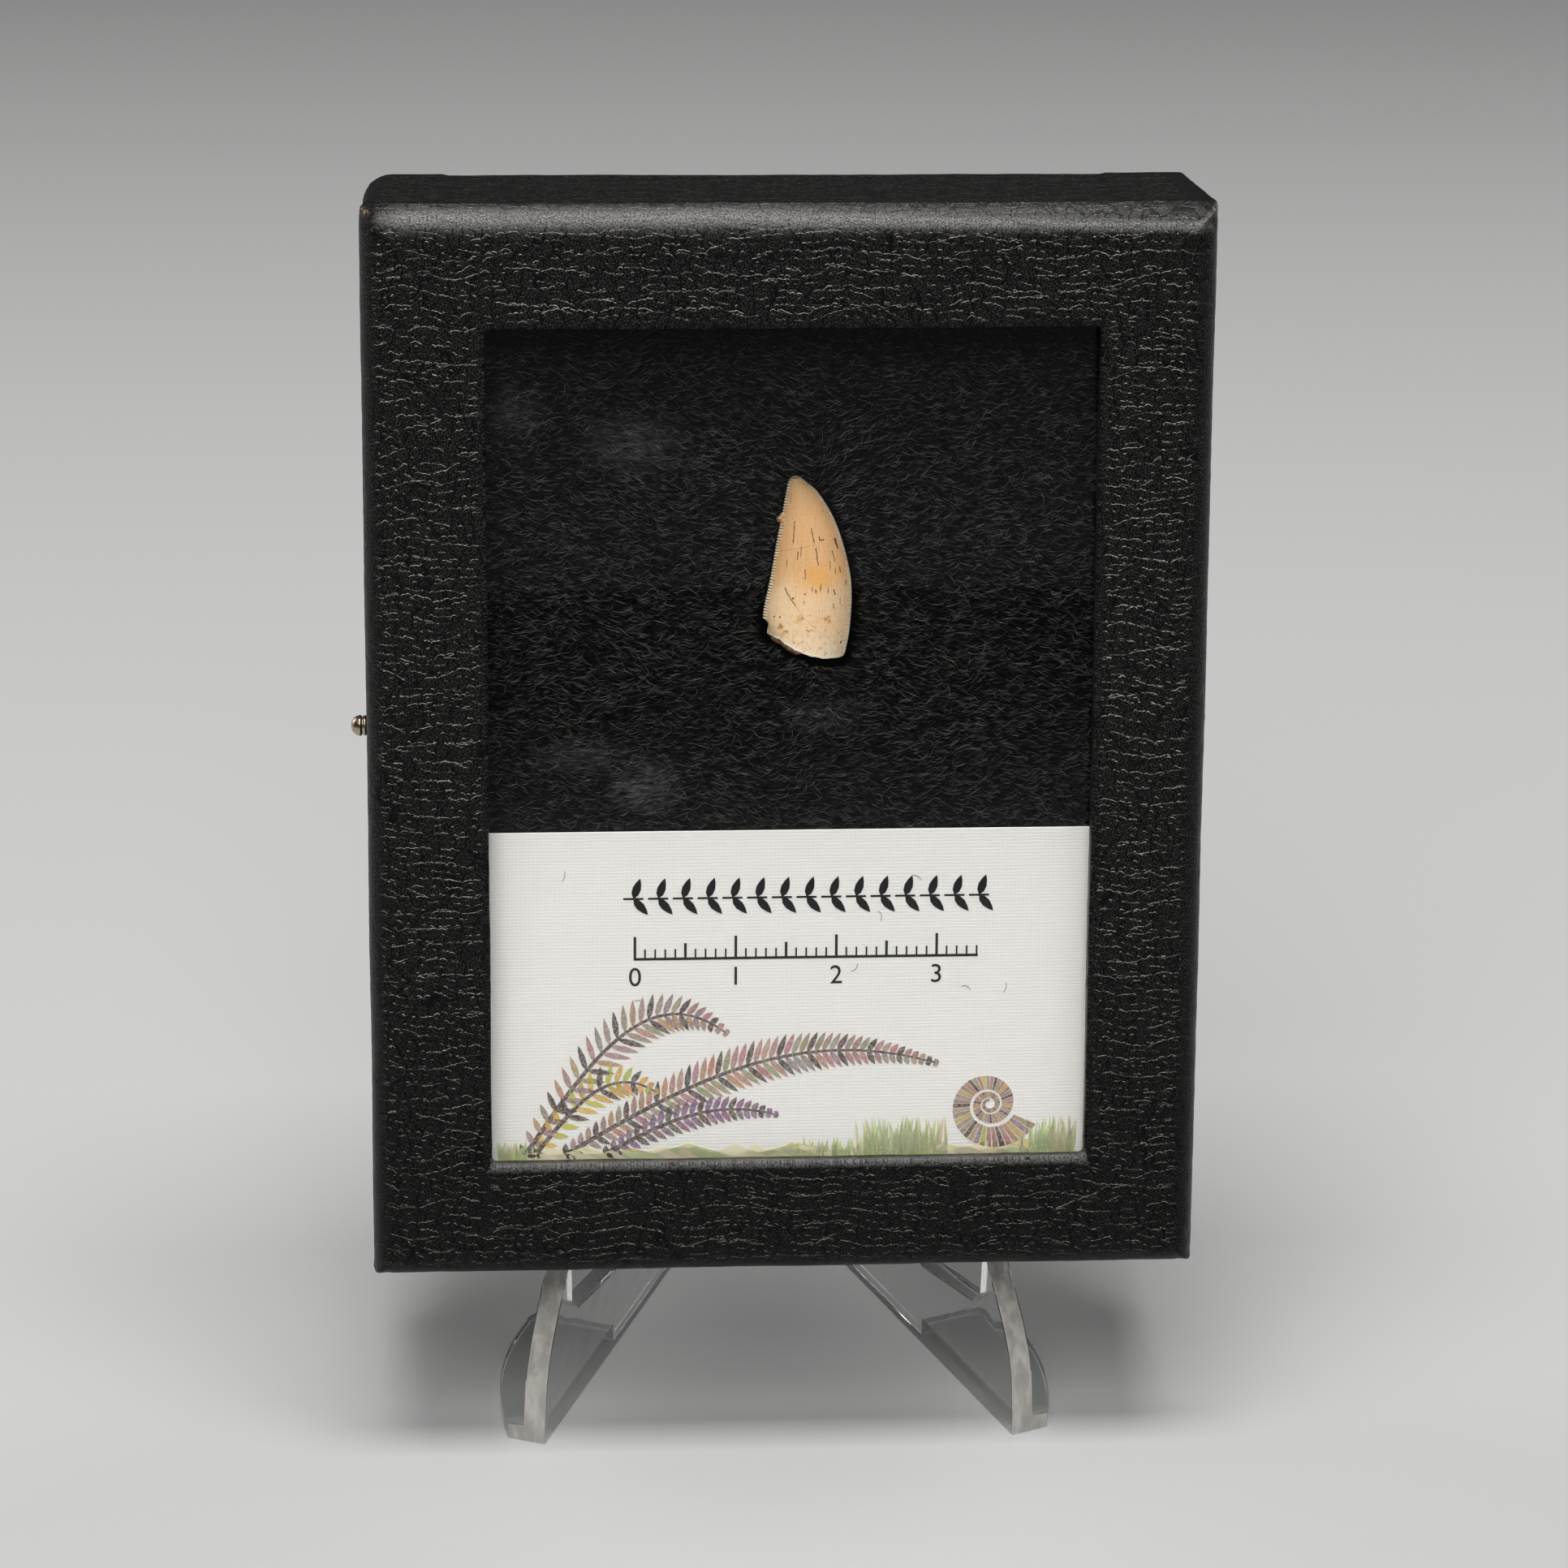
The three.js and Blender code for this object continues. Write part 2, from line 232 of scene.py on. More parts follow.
felt, tree, shader = start_finish("black_felt", 0.8, 0.04)
place = box_place(tree)
swirl = grain(place, 0.18, 2.0, output="Color")
bent = vector("MULTIPLY_ADD", swirl, (5, 5, 5), place)
strands = grain(stretched(bent, (0.5, 1.0, 2.2)), 5.0, 3.0, 0.7)
felt_dark, felt_light = (0.0005, 0.0005, 0.0005), (0.018, 0.0178, 0.0178)
feed(shader, "Base Color", tint(spread(strands, 0.45, 0.68), felt_dark, felt_light))
relief(shader, strands, 0.25)

# The pad: a slab with a fluffed face and the nest pressed into it.
pad = bmesh.new()
cells_across, cells_up = 120, 160
bmesh.ops.create_grid(pad, x_segments=cells_across, y_segments=cells_up, size=0.5)
stand_up = Matrix.Rotation(math.pi / 2, 4, "X")
pad_size = Matrix.Diagonal((2 * filling_half, 1.0, filling_top - filling_foot, 1.0))
pad_centre = Matrix.Translation((0, filling_front, (filling_top + filling_foot) / 2))
bmesh.ops.transform(pad, matrix=pad_centre @ pad_size @ stand_up, verts=pad.verts)
front_rows = list(pad.verts)
walls = bmesh.ops.extrude_edge_only(pad, edges=[e for e in pad.edges if e.is_boundary])
wall_verts = [v for v in walls["geom"] if isinstance(v, bmesh.types.BMVert)]
bmesh.ops.translate(pad, vec=(0, filling_back - filling_front, 0), verts=wall_verts)
bmesh.ops.contextual_create(pad, geom=[e for e in pad.edges if e.is_boundary])
bmesh.ops.recalc_face_normals(pad, faces=pad.faces)
for vert in front_rows:
    away = Vector((vert.co.x - tooth_middle[0], vert.co.z - tooth_middle[1]))
    share = (abs(away.x) / nest_half[0]) ** 3 + (abs(away.y) / nest_half[1]) ** 3
    nest = nest_deep * clamp((1.3 - share) / 0.4)
    fluff = noise.fractal(Vector((vert.co.x / 2.6, 0, vert.co.z / 1.1)), 1.0, 2.0, 3)
    vert.co.y += fluff_sunk + fluff_deep * fluff + nest
filling_pad = finish_piece("filling_pad", pad, felt)
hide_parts("filling")


# ---------------------------------------------------------------- tooth
# The fossil crown of a blade-like tooth, broken off at its base: a thin lens in section with a
# toothed keel down each edge, enamel gone tan above and cream below, and dark cracks.

crown_foot = 61.95
crown_middle_deep = 5.9
bulge_front, bulge_back = 1.9, 2.2
tooth_around, crown_rows, cap_rows = 96, 480, 14
left_edge = [(-1.95, 2.7), (-2.2, 3.6), (-2.3, 4.4), (-2.15, 5.6), (-1.6, 8.2), (-1.0, 11.8),
             (-0.45, 14.7), (-0.05, 16.9), (0.12, 17.7), (0.40, 18.15), (0.8, 18.3)]
right_edge = [(5.78, 0.4), (6.2, 2.6), (6.42, 5.6), (6.33, 8.0), (5.7, 11.0), (4.6, 14.1),
              (3.15, 16.5), (2.0, 17.6), (1.3, 18.15), (0.8, 18.3)]
left_denticle, right_denticle = 0.285, 0.205
left_keel, right_keel, keel_raised = 0.27, 0.30, 0.19
left_notch, right_notch, slot_deep = 0.33, 0.24, 0.14
keel_foot, chip_foot, chip_top, chip_deep = 3.9, 2.6, 4.1, 0.42
rim_ragged, rim_lumpy, hang_long = 0.16, 0.35, 8.0


def curve_through(points, steps):
    """Even steps along a smooth curve through points, with the length run so far."""
    ends = [points[0], *points, points[-1]]
    line = []
    for before, start, end, after in zip(ends, ends[1:], ends[2:], ends[3:]):
        for share in np.linspace(0, 1, 40, endpoint=False):
            line.append([
                0.5 * (2 * s + (e - b) * share + (2 * b - 5 * s + 4 * e - a) * share ** 2
                       + (3 * s - b - 3 * e + a) * share ** 3)
                for b, s, e, a in zip(before, start, end, after)
            ])
    line.append(points[-1])
    line = np.array(line)
    run = np.concatenate([[0], np.cumsum(np.hypot(*np.diff(line, axis=0).T))])
    even = np.linspace(0, run[-1], steps)
    return np.interp(even, run, line[:, 0]), np.interp(even, run, line[:, 1]), even


left_x, left_z, left_run = curve_through(left_edge, crown_rows + 1)
right_x, right_z, right_run = curve_through(right_edge, crown_rows + 1)


def bead(run, pitch):
    """How far a denticle stands out at a length along the keel: 0 in the slot, 1 on its crest."""
    phase = run / pitch % 1.0
    return math.sqrt(max(0.0, 1 - (2 * phase - 1) ** 2))


def rim_drop(share):
    """How far the front of the broken rim hangs below a straight line between the two keels."""
    shares = (-1.0, -0.87, -0.63, -0.41, -0.175, 0.066, 0.41, 0.72, 0.95, 1.0)
    return float(np.interp(share, shares, (0.0, -0.05, 0.11, 0.36, 0.64, 0.78, 0.71, 0.44, 0.16, 0.0)))


tooth = bmesh.new()
slot_layer = tooth.verts.layers.float.new("slot")
keel_highlight_layer = tooth.verts.layers.float.new("keel")
dentine_layer = tooth.verts.layers.float.new("dentine")
bmesh.ops.create_uvsphere(tooth, u_segments=tooth_around, v_segments=crown_rows + cap_rows, radius=1.0)
for vert in tooth.verts:
    polar = math.acos(max(-1.0, min(1.0, vert.co.z)))
    row = round(polar / math.pi * (crown_rows + cap_rows))
    ring = math.hypot(vert.co.x, vert.co.y)
    across, out = (vert.co.x / ring, -vert.co.y / ring) if ring > 1e-6 else (0.0, 0.0)
    step = crown_rows - min(row, crown_rows)
    rise = step / crown_rows
    inward = max(0, row - crown_rows) / cap_rows
    keep = math.cos(inward * math.pi / 2) ** 0.8 if inward < 1 else 0.0

    # The keels: beads with slots between them, deepest at the edge and gone half a millimetre in.
    half_x, half_z = (right_x[step] - left_x[step]) / 2, (right_z[step] - left_z[step]) / 2
    near_left = falloff((1 + across) * half_x, left_keel)
    near_right = falloff((1 - across) * half_x, right_keel)
    fade = min(1.0, (1 - rise) / 0.09) * min(1.0, rise / 0.012)
    whole_left = clamp((left_z[step] - keel_foot) / 0.1)
    left_slot = near_left * fade * whole_left * (1 - bead(left_run[step], left_denticle))
    right_slot = near_right * fade * (1 - bead(right_run[step], right_denticle))

    middle_x, middle_z = (left_x[step] + right_x[step]) / 2, (left_z[step] + right_z[step]) / 2
    slim = max(1 - across * across, 0) ** 0.9
    bulge = (bulge_front if out > 0 else -bulge_back) * math.sqrt(1 - rise) * slim
    swell = 1 + 0.035 * noise.noise(Vector((across * 2.2, rise * 5, 1.0 if out > 0 else 9.0)))
    bulge = bulge * swell - math.copysign(slot_deep, out) * (left_slot + right_slot)
    bulge += math.copysign(keel_raised, out) * (near_left * whole_left + near_right * 0.9) * fade
    # The slot layer marks the slots, painted darker as shade; the keel highlight layer marks a painted
    # highlight near each keel's edge and along the broken rim.
    vert[slot_layer] = min(1.0, 1.3 * (left_slot + right_slot))
    keel_edge_highlight = max(falloff((1 + across) * half_x, 0.2), falloff((1 - across) * half_x, 0.22))
    rim_highlight = 0.8 * falloff(rise, 0.009) if inward == 0 else 0.0
    vert[keel_highlight_layer] = max(fade * keel_edge_highlight, rim_highlight)
    ragged = rim_ragged * noise.fractal(Vector((across * 5.5, out * 3.0, 4.0)), 0.8, 2.0, 5)
    dip = ((rim_drop(across) if out > 0 else 0.4 * slim) + ragged) * math.exp(-rise / 0.05)
    # The keel is chipped away at the foot of the left edge, and dentine hangs below the rim there.
    chip = clamp((chip_top - left_z[step]) / 0.25) * clamp((left_z[step] - chip_foot) / 0.9, 0.15)
    chipped = chip_deep * near_left * chip
    hang = hang_long * inward * falloff(inward, 0.22) * clamp(-across / 0.35)
    hang *= min(1.0, (across + 1) / 0.12)
    lumpy = rim_lumpy * inward * noise.noise(Vector((across * 6, out * 5, inward * 7)))
    vert[dentine_layer] = min(1.0, inward * 12)
    vert.co = Vector((
        middle_x + half_x * across * keep + left_notch * left_slot - right_notch * right_slot + chipped,
        crown_middle_deep - bulge * keep,
        crown_foot + middle_z + half_z * across * keep - dip * keep + 0.9 * inward - hang + lumpy,
    ))

# A grain of the matrix still sticks to the left keel.
for x, z, size in ((-0.66, 14.1, 0.34), (-0.42, 14.35, 0.28), (-0.38, 13.9, 0.28)):
    seat = Matrix.Translation((x, crown_middle_deep - 0.1, crown_foot + z))
    lump = bmesh.ops.create_icosphere(tooth, subdivisions=4, radius=size, matrix=seat)["verts"]
    for vert in lump:
        vert.co += (vert.co - seat.translation) * 0.35 * noise.fractal(vert.co * 1.7, 1.0, 2.0, 3)
bmesh.ops.recalc_face_normals(tooth, faces=tooth.faces)

enamel, tree, shader = start_finish("fossil_enamel", 0.42, 0.45)
place = box_place(tree)
_, deep, up = add_node(tree, "SeparateXYZ", {0: place}).outputs

crown_tan, orange_tan = (0.80, 0.46, 0.21), (0.84, 0.42, 0.11)
base_cream, grey_cream = (0.88, 0.62, 0.38), (0.86, 0.72, 0.56)
cloudy = grain(place, 0.55, 4.0, 0.6)
wander = reckon("MULTIPLY_ADD", cloudy, 5.0, up)
crown = tint(spread(wander, crown_foot + 8.0, crown_foot + 12.0), base_cream, crown_tan)
crown = tint(spread(wander, crown_foot + 7.0, crown_foot + 2.5), crown, grey_cream)
patch = vector("SUBTRACT", place, (3.1, 3.4, crown_foot + 8.5))
patch = vector("LENGTH", stretched(patch, (0.30, 0.1, 0.36)))
patch = reckon("ADD", patch, times(cloudy, 0.9))
crown = tint(spread(patch, 1.25, 0.6, 0.0, 0.85), crown, orange_tan)
pale_tip = spread(up, crown_foot + 17.5, crown_foot + 18.4, 0.0, 0.55)
crown = tint(pale_tip, crown, (0.86, 0.66, 0.44))

# Fine upright streaks in the enamel and a mealy grain, each with a darker and a paler side.
streaks = grain(stretched(place, (7.5, 2.5, 0.4)), 1.0, 3.0, 0.65)
mealy = grain(place, 7.0, 2.0, 0.6)
for pattern, full, share, colour in (
    (streaks, 0.75, 0.38, (0.55, 0.27, 0.095)), (streaks, 0.25, 0.22, (0.88, 0.70, 0.49)),
    (mealy, 0.75, 0.30, (0.62, 0.33, 0.13)), (mealy, 0.25, 0.25, (0.95, 0.80, 0.60)),
):
    crown = tint(spread(pattern, 0.5, full, 0.0, share), crown, colour)

# Brown pits, dark specks and stains toward the base.
low_down = spread(up, crown_foot + 7.5, crown_foot + 3.0)
rough_share = grain(place, 2.6, 4.0, 0.72)
pitted = times(low_down, 0.10)
pit_spots = ((4.07, 4.25, 0.9), (1.22, 4.33, 0.8), (1.68, 6.0, 0.35),
             (-0.79, 3.4, 0.9), (-0.2, 2.8, 0.9), (5.2, 1.9, 0.7))
for x, z, size in pit_spots:
    off = vector("DISTANCE", place, (x, 4.4, crown_foot + z))
    pitted = reckon("MAXIMUM", pitted, spread(off, size, size * 0.3, 0.0, 0.22))
pitted = reckon("ADD", rough_share, pitted)
pits, stain = spread(pitted, 0.67, 0.82), spread(pitted, 0.56, 0.74)
crown = tint(times(stain, 0.7), crown, (0.87, 0.50, 0.19))
pit_colour = tint(spread(rough_share, 0.48, 0.60), (0.74, 0.36, 0.11), (0.30, 0.13, 0.06))
crown = tint(times(pits, 0.8), crown, pit_colour)
dots = add_node(tree, "TexVoronoi", {"Vector": place, "Scale": 1.15}, feature="F1").outputs
few = spread(add_node(tree, "SeparateColor", {0: dots["Color"]}).outputs[0], 0.5, 0.6)
specks = times(spread(dots["Distance"], 0.09, 0.04), few)
crown = tint(times(specks, 0.8), crown, (0.14, 0.07, 0.04))

wobble = grain(place, 2.2, 2.0, output="Color")
shaken = vector("MULTIPLY_ADD", wobble, (0.26,) * 3, place)
shaken = vector("SUBTRACT", shaken, (0.13, 0.13, 0.13))
flat_place = stretched(shaken, (1, 0, 1))


def crack(start, end, half_width):
    """1 on a crack between two points of the face, 0 away from it."""
    start, end = (Vector((across, 0, crown_foot + up)) for across, up in (start, end))
    along = end - start
    from_start = vector("SUBTRACT", flat_place, start)
    share = vector("DOT_PRODUCT", from_start, along / max(along.length_squared, 1e-9))
    share = add_node(tree, "Clamp", {0: share}).outputs[0]
    nearest = add_node(tree, "VectorMath", {0: along, "Scale": share}, operation="SCALE").outputs[0]
    gap = vector("DISTANCE", from_start, nearest)
    return spread(gap, half_width * 0.8, half_width * 0.25)


# Where the cracks start and end on the face, across and up from its foot, and their half width.
dark_cracks = [
    ((0.75, 13.9), (0.53, 11.8), 0.06), ((2.33, 13.25), (2.6, 11.85), 0.07),
    ((3.08, 12.5), (3.18, 12.05), 0.06), ((3.18, 12.05), (3.55, 12.12), 0.10),
    ((4.66, 12.1), (4.98, 11.2), 0.15), ((1.03, 10.95), (1.0, 10.2), 0.06),
    ((1.36, 11.4), (1.3, 10.5), 0.055), ((2.78, 11.25), (3.02, 9.7), 0.07),
    ((4.43, 11.0), (4.68, 9.9), 0.06), ((4.18, 10.0), (4.22, 9.15), 0.05),
    ((-0.02, 10.1), (-0.06, 9.25), 0.055), ((1.72, 9.2), (1.76, 8.25), 0.055),
    ((4.7, 9.2), (4.78, 8.7), 0.06), ((5.14, 9.35), (5.24, 8.8), 0.08), ((3.27, 7.7), (3.24, 7.15), 0.07),
    ((2.38, 7.45), (2.41, 7.1), 0.07), ((2.72, 7.2), (2.76, 6.9), 0.07), ((4.02, 7.4), (4.03, 6.8), 0.05),
    ((4.58, 7.2), (4.7, 6.7), 0.085), ((5.82, 7.9), (5.76, 7.6), 0.09), ((4.57, 5.8), (4.6, 5.3), 0.06),
    ((5.19, 6.2), (5.22, 5.7), 0.05), ((-0.24, 7.35), (0.1, 6.7), 0.08), ((0.1, 6.7), (0.8, 5.6), 0.065),
    ((1.72, 6.78), (1.72, 6.77), 0.13), ((0.56, 6.4), (0.55, 6.3), 0.12),
    ((-1.19, 4.5), (-1.18, 4.45), 0.12), ((-0.71, 4.45), (-0.70, 4.4), 0.11),
    ((5.34, 1.85), (5.3, 1.7), 0.15), ((2.7, 14.2), (2.7, 14.2), 0.07), ((2.8, 16.5), (2.8, 16.5), 0.07),
]
faint_cracks = [
    ((-0.5, 10.95), (0.82, 11.22), 0.05), ((0.82, 11.22), (2.57, 11.7), 0.055),
    ((2.6, 11.85), (3.1, 11.15), 0.05), ((0.42, 16.5), (0.33, 15.7), 0.08), ((0.8, 5.6), (1.6, 4.55), 0.05),
    ((1.6, 4.55), (2.65, 3.5), 0.045), ((2.65, 3.5), (4.4, 2.05), 0.045),
]


def widest(marks):
    """The marks laid over one another."""
    total = marks[0]
    for mark in marks[1:]:
        total = reckon("MAXIMUM", total, mark)
    return total


on_face = spread(deep, crown_middle_deep + 0.1, crown_middle_deep - 0.2)
open_crack = times(widest([crack(*c) for c in dark_cracks]), on_face)
shut_crack = times(widest([crack(*c) for c in faint_cracks]), on_face)
crown = tint(times(shut_crack, 0.6), crown, (0.30, 0.21, 0.15))
crown = tint(times(open_crack, 0.95), crown, (0.03, 0.03, 0.045))

# The slots of the keels are painted a darker brown, for their brown grooves and as painted shade in them, and
# the beads between them and the broken rim get a painted pale highlight.
slotted = layer_value(tree, "slot")
crown = tint(times(slotted, 0.85), crown, (0.22, 0.10, 0.035))
bead_highlight = times(layer_value(tree, "keel"), reckon("SUBTRACT", 1.0, slotted))
crown = tint(bead_highlight, crown, (1.0, 0.90, 0.71))

# The broken face under the crown shows the brown dentine.
dentine = spread(grain(place, 2.6, 4.0, 0.7), 0.35, 0.68)
dentine = tint(dentine, (0.03, 0.014, 0.008), (0.30, 0.17, 0.085))
crown = tint(spread(layer_value(tree, "dentine"), 0.06, 0.22), crown, dentine)
feed(shader, "Base Color", crown)
raised = reckon("SUBTRACT", times(streaks, 0.5), open_crack)
raised = reckon("SUBTRACT", raised, times(pits, 0.5))
relief(shader, raised, 0.05)
feed(shader, "Roughness", spread(low_down, 0.0, 1.0, 0.36, 0.6))
shader.inputs["Subsurface Weight"].default_value = 0.08
shader.inputs["Subsurface Radius"].default_value = (0.0012, 0.0007, 0.0004)

fossil_tooth = finish_piece("fossil_tooth", tooth, enamel)
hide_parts("tooth")


# ---------------------------------------------------------------- loose fibres of the filling
# The fibres that stand up from the pad and lie flat against the pane: fine tapered threads,
# three-sided, each bent on its own.

fibre_bands, fibres_per_band, thread_sides = 5, 11600, 3
# Their depth in the box, their scatter in radians, and their least and greatest sizes in mm.
fibre_deep, fibre_turn, fibre_bend = 4.15, 0.27, 0.28
fibre_length, fibre_rise, fibre_sunk = (0.5, 1.7), (0.1, 0.75), (0.0, 0.5)
pale_fibres, pale_thick, dark_thick = 0.42, (0.015, 0.029), (0.022, 0.040)
stray_up, stray_down, stray_side = 3.5, 2.5, 33.0
over_crown, under_rim = 18.7, 0.65


def left_at(up):
    """Where the tooth's left edge is at a height."""
    return float(np.interp(up - crown_foot, left_z[::8], left_x[::8]))


def right_at(up):
    """Where the tooth's right edge is at a height."""
    return float(np.interp(up - crown_foot, right_z[::8], right_x[::8]))


def over_tooth(across, up):
    """Whether a point lies over the tooth or the broken rim at its foot."""
    height = up - crown_foot
    slant = (across - left_x[0]) / (right_x[0] - left_x[0])
    rim = left_z[0] + (right_z[0] - left_z[0]) * slant - rim_drop(2 * slant - 1)
    if height > over_crown or height < rim - under_rim:
        return False
    return left_at(up) - 0.1 < across < right_at(up) + 0.08


def lay_fibres(name, count, foot, top, seed):
    """One mesh of many tapered threads between two heights of the window."""
    chance = random.Random(seed)
    points, faces, light, laid = [], [], [], 0
    while laid < count:
        across = chance.uniform(window_left - 1.5, window_right + 1.5)
        up = chance.uniform(foot, top)
        turn = comb_angle(across, up) + chance.gauss(0, fibre_turn)
        bend = chance.gauss(0, fibre_bend)
        length, rise, sunk = (chance.uniform(*span) for span in (fibre_length, fibre_rise, fibre_sunk))
        pale = chance.random() < pale_fibres
        shade = 0.9 * chance.random() ** 1.5 + 0.1 if pale else 0.01
        thick = chance.uniform(*(pale_thick if pale else dark_thick))
        rings = 4 if pale else 3
        path, x, z, angle = [], across, up, turn
        for ring in range(rings):
            share = ring / (rings - 1)
            path.append((x, fibre_deep + sunk - rise * math.sin(math.pi * share), z, angle))
            angle += bend * length / rings * 2
            x += math.cos(angle) * length / (rings - 1)
            z += math.sin(angle) * length / (rings - 1)
        if any(over_tooth(p[0], p[2]) for p in path):
            continue
        if any(p[2] > top + stray_up or p[2] < foot - stray_down or abs(p[0]) > stray_side for p in path):
            continue
        laid += 1
        start = len(points)
        for ring, (x, y, z, angle) in enumerate(path):
            share = ring / (rings - 1)
            radius = thick * (1 - 0.75 * abs(2 * share - 1) ** 3)
            for side in range(thread_sides):
                around = 2 * math.pi * side / thread_sides
                lift = radius * math.cos(around)
                points.append((x - math.sin(angle) * lift, y + radius * math.sin(around),
                               z + math.cos(angle) * lift))
        for ring in range(start, len(points) - thread_sides, thread_sides):
            for side in range(thread_sides):
                a, b = ring + side, ring + (side + 1) % thread_sides
                faces.append((a, b, b + thread_sides, a + thread_sides))
        whole = (rings - 1) * thread_sides
        first_end, last_end = range(start, start + thread_sides), range(start + whole, len(points))
        faces += [tuple(reversed(first_end)), tuple(last_end)]
        light += [shade] * (whole + 2)
    mesh = bpy.data.meshes.new(name)
    mesh.from_pydata(points, [], faces)
    mesh.transform(from_box)
    shades = mesh.attributes.new("lightness", "FLOAT", "FACE")
    shades.data.foreach_set("value", light)
    finish_mesh(name, mesh, fibre)


band_edges = np.linspace(card_top - 1.0, window_top + 1.5, fibre_bands + 1)
for band, (foot, top) in enumerate(zip(band_edges, band_edges[1:])):
    lay_fibres(f"filling_fibres_{band + 1}", fibres_per_band, foot, top, 40 + band)


# ---------------------------------------------------------------- label card
# A stiff off-white card with fine laid ribs, slipped in front of the filling at the foot of the
# window. Its print is a row of leaves, a centimetre scale and a fern and shell frieze.

card_front, ink_thick = 3.4, 0.02
print_front = card_front - 0.03

paper, tree, shader = start_finish("laid_card", 0.7, 0.3)
place = box_place(tree)
rib_place = vector("MULTIPLY_ADD", grain(place, 0.7, 2.0, output="Color"), (0.0, 0.0, 0.14), place)
ribs = add_node(tree, "TexWave", {"Vector": rib_place, "Scale": 0.95, "Distortion": 0.0},
                wave_type="BANDS", bands_direction="Z").outputs[0]
chain = add_node(tree, "TexWave", {"Vector": place, "Scale": 0.75, "Distortion": 1.5, "Detail": 1.0},
                 wave_type="BANDS", bands_direction="X").outputs[0]
mottle = grain(place, 1.2, 4.0)
white = tint(ribs, (0.835, 0.805, 0.775), (0.87, 0.84, 0.81))
feed(shader, "Base Color", tint(times(mottle, 0.2), white, (0.78, 0.75, 0.72)))
relief(shader, reckon("ADD", ribs, times(chain, 0.4)), 0.008)
dress("label_card", paper)

ink, tree, shader = start_finish("printing_ink", 0.6, 0.15)
place = box_place(tree)
hue = layer_value(tree, "ink_colour", "Color")
dots = grain(place, 5.5, 1.0)
coloured = spread(add_node(tree, "SeparateColor", {0: hue}).outputs[0], 0.01, 0.03)
thin_ink = times(coloured, spread(dots, 0.4, 0.62, 0.0, 0.25))
feed(shader, "Base Color", tint(thin_ink, hue, (0.80, 0.74, 0.66)))

ink_black = (0.003, 0.0025, 0.0025)
ink_mauve, ink_dark = (0.36, 0.22, 0.18), (0.075, 0.045, 0.04)
ink_ochre, ink_purple = (0.52, 0.38, 0.07), (0.21, 0.11, 0.19)
ink_sand, ink_green = (0.87, 0.80, 0.54), (0.56, 0.60, 0.30)
ink_ochre_wash, ink_moss_wash = (0.72, 0.62, 0.25), (0.62, 0.66, 0.36)


def print_shape(sheet, outline, colour):
    """A flat inked shape, given by its outline in (across, up)."""
    inks = sheet.loops.layers.float_color
    layer = inks.get("ink_colour") or inks.new("ink_colour")
    corners = [sheet.verts.new((x, print_front, z)) for x, z in outline]
    face = sheet.faces.new(corners)
    raised = bmesh.ops.extrude_face_region(sheet, geom=[face])
    top = [v for v in raised["geom"] if isinstance(v, bmesh.types.BMVert)]
    bmesh.ops.translate(sheet, vec=(0, ink_thick, 0), verts=top)
    touched = {f for v in corners + top for f in v.link_faces}
    for each in touched:
        for loop in each.loops:
            loop[layer] = (*colour, 1.0)


def leaf(x, z, turn, length, width):
    """The outline of a pointed leaf that grows from (x, z)."""
    shares = (0.0, 0.22, 0.5, 0.78, 1.0)
    halves = (0.0, 0.42, 0.5, 0.3, 0.0)
    upper = [(s * length, h * width) for s, h in zip(shares, halves)]
    lower = [(s * length, -h * width) for s, h in list(zip(shares, halves))[-2:0:-1]]
    c, s = math.cos(turn), math.sin(turn)
    return [(x + c * a - s * b, z + s * a + c * b) for a, b in upper + lower]


def bar(x0, z0, x1, z1, width):
    """The outline of a straight stroke."""
    run = Vector((x1 - x0, z1 - z0)).normalized() * width / 2
    ends = ((x0, z0, -1), (x0, z0, 1), (x1, z1, 1), (x1, z1, -1))
    return [(x + way * run.y, z - way * run.x) for x, z, way in ends]


# A row of leaves in place of a title, and a scale of centimetres and millimetres, drawn to size.
lettering = bmesh.new()
title_middle, title_height, title_step = 2.0, 38.4, 2.45
title_leaf_long, title_leaf_wide = 2.2, 0.85
for pair in range(-7, 8):
    x = title_middle + pair * title_step
    for side in (-1, 1):
        blade = leaf(x, title_height, side * 1.05 + 0.2, title_leaf_long, title_leaf_wide)
        print_shape(lettering, blade, ink_black)
    print_shape(lettering, bar(x - 1.0, title_height, x + 1.0, title_height, 0.2), ink_black)
scale_foot, scale_start, scale_end = 32.2, -15.0, 19.0
heavy_stroke, fine_stroke = 0.26, 0.17
half_stroke = heavy_stroke / 2
ruled = bar(scale_start - half_stroke, scale_foot, scale_end + half_stroke, scale_foot, heavy_stroke)
print_shape(lettering, ruled, ink_black)
for tick in range(35):
    tall = 2.3 if tick % 10 == 0 else 1.6 if tick % 5 == 0 else 1.0
    x, stroke = scale_start + tick, fine_stroke if tick % 5 else heavy_stroke
    print_shape(lettering, bar(x, scale_foot, x, scale_foot + tall, stroke), ink_black)
bmesh.ops.recalc_face_normals(lettering, faces=lettering.faces)
finish_piece("card_scale", lettering, ink, smooth=False)

# Numerals of the scale.
for number in range(4):
    text = bpy.data.curves.new(f"numeral_{number}", "FONT")
    text.body, text.align_x = str(number), "CENTER"
    text.size, text.extrude = 2.7, ink_thick / 2
    letter = bpy.data.objects.new(f"numeral_{number}", text)
    flat = bpy.data.meshes.new_from_object(letter)
    bpy.data.objects.remove(letter)
    seat = Vector((scale_start + 10 * number, print_front + ink_thick / 2, scale_foot - 2.75))
    flat.transform(from_box @ Matrix.Translation(seat) @ stand_up)
    shade = flat.color_attributes.new("ink_colour", "FLOAT_COLOR", "CORNER")
    shade.data.foreach_set("color", [*ink_black, 1.0] * len(flat.loops))
    flat.materials.clear()
    finish_mesh(f"card_numeral_{number}", flat, ink, smooth=False)

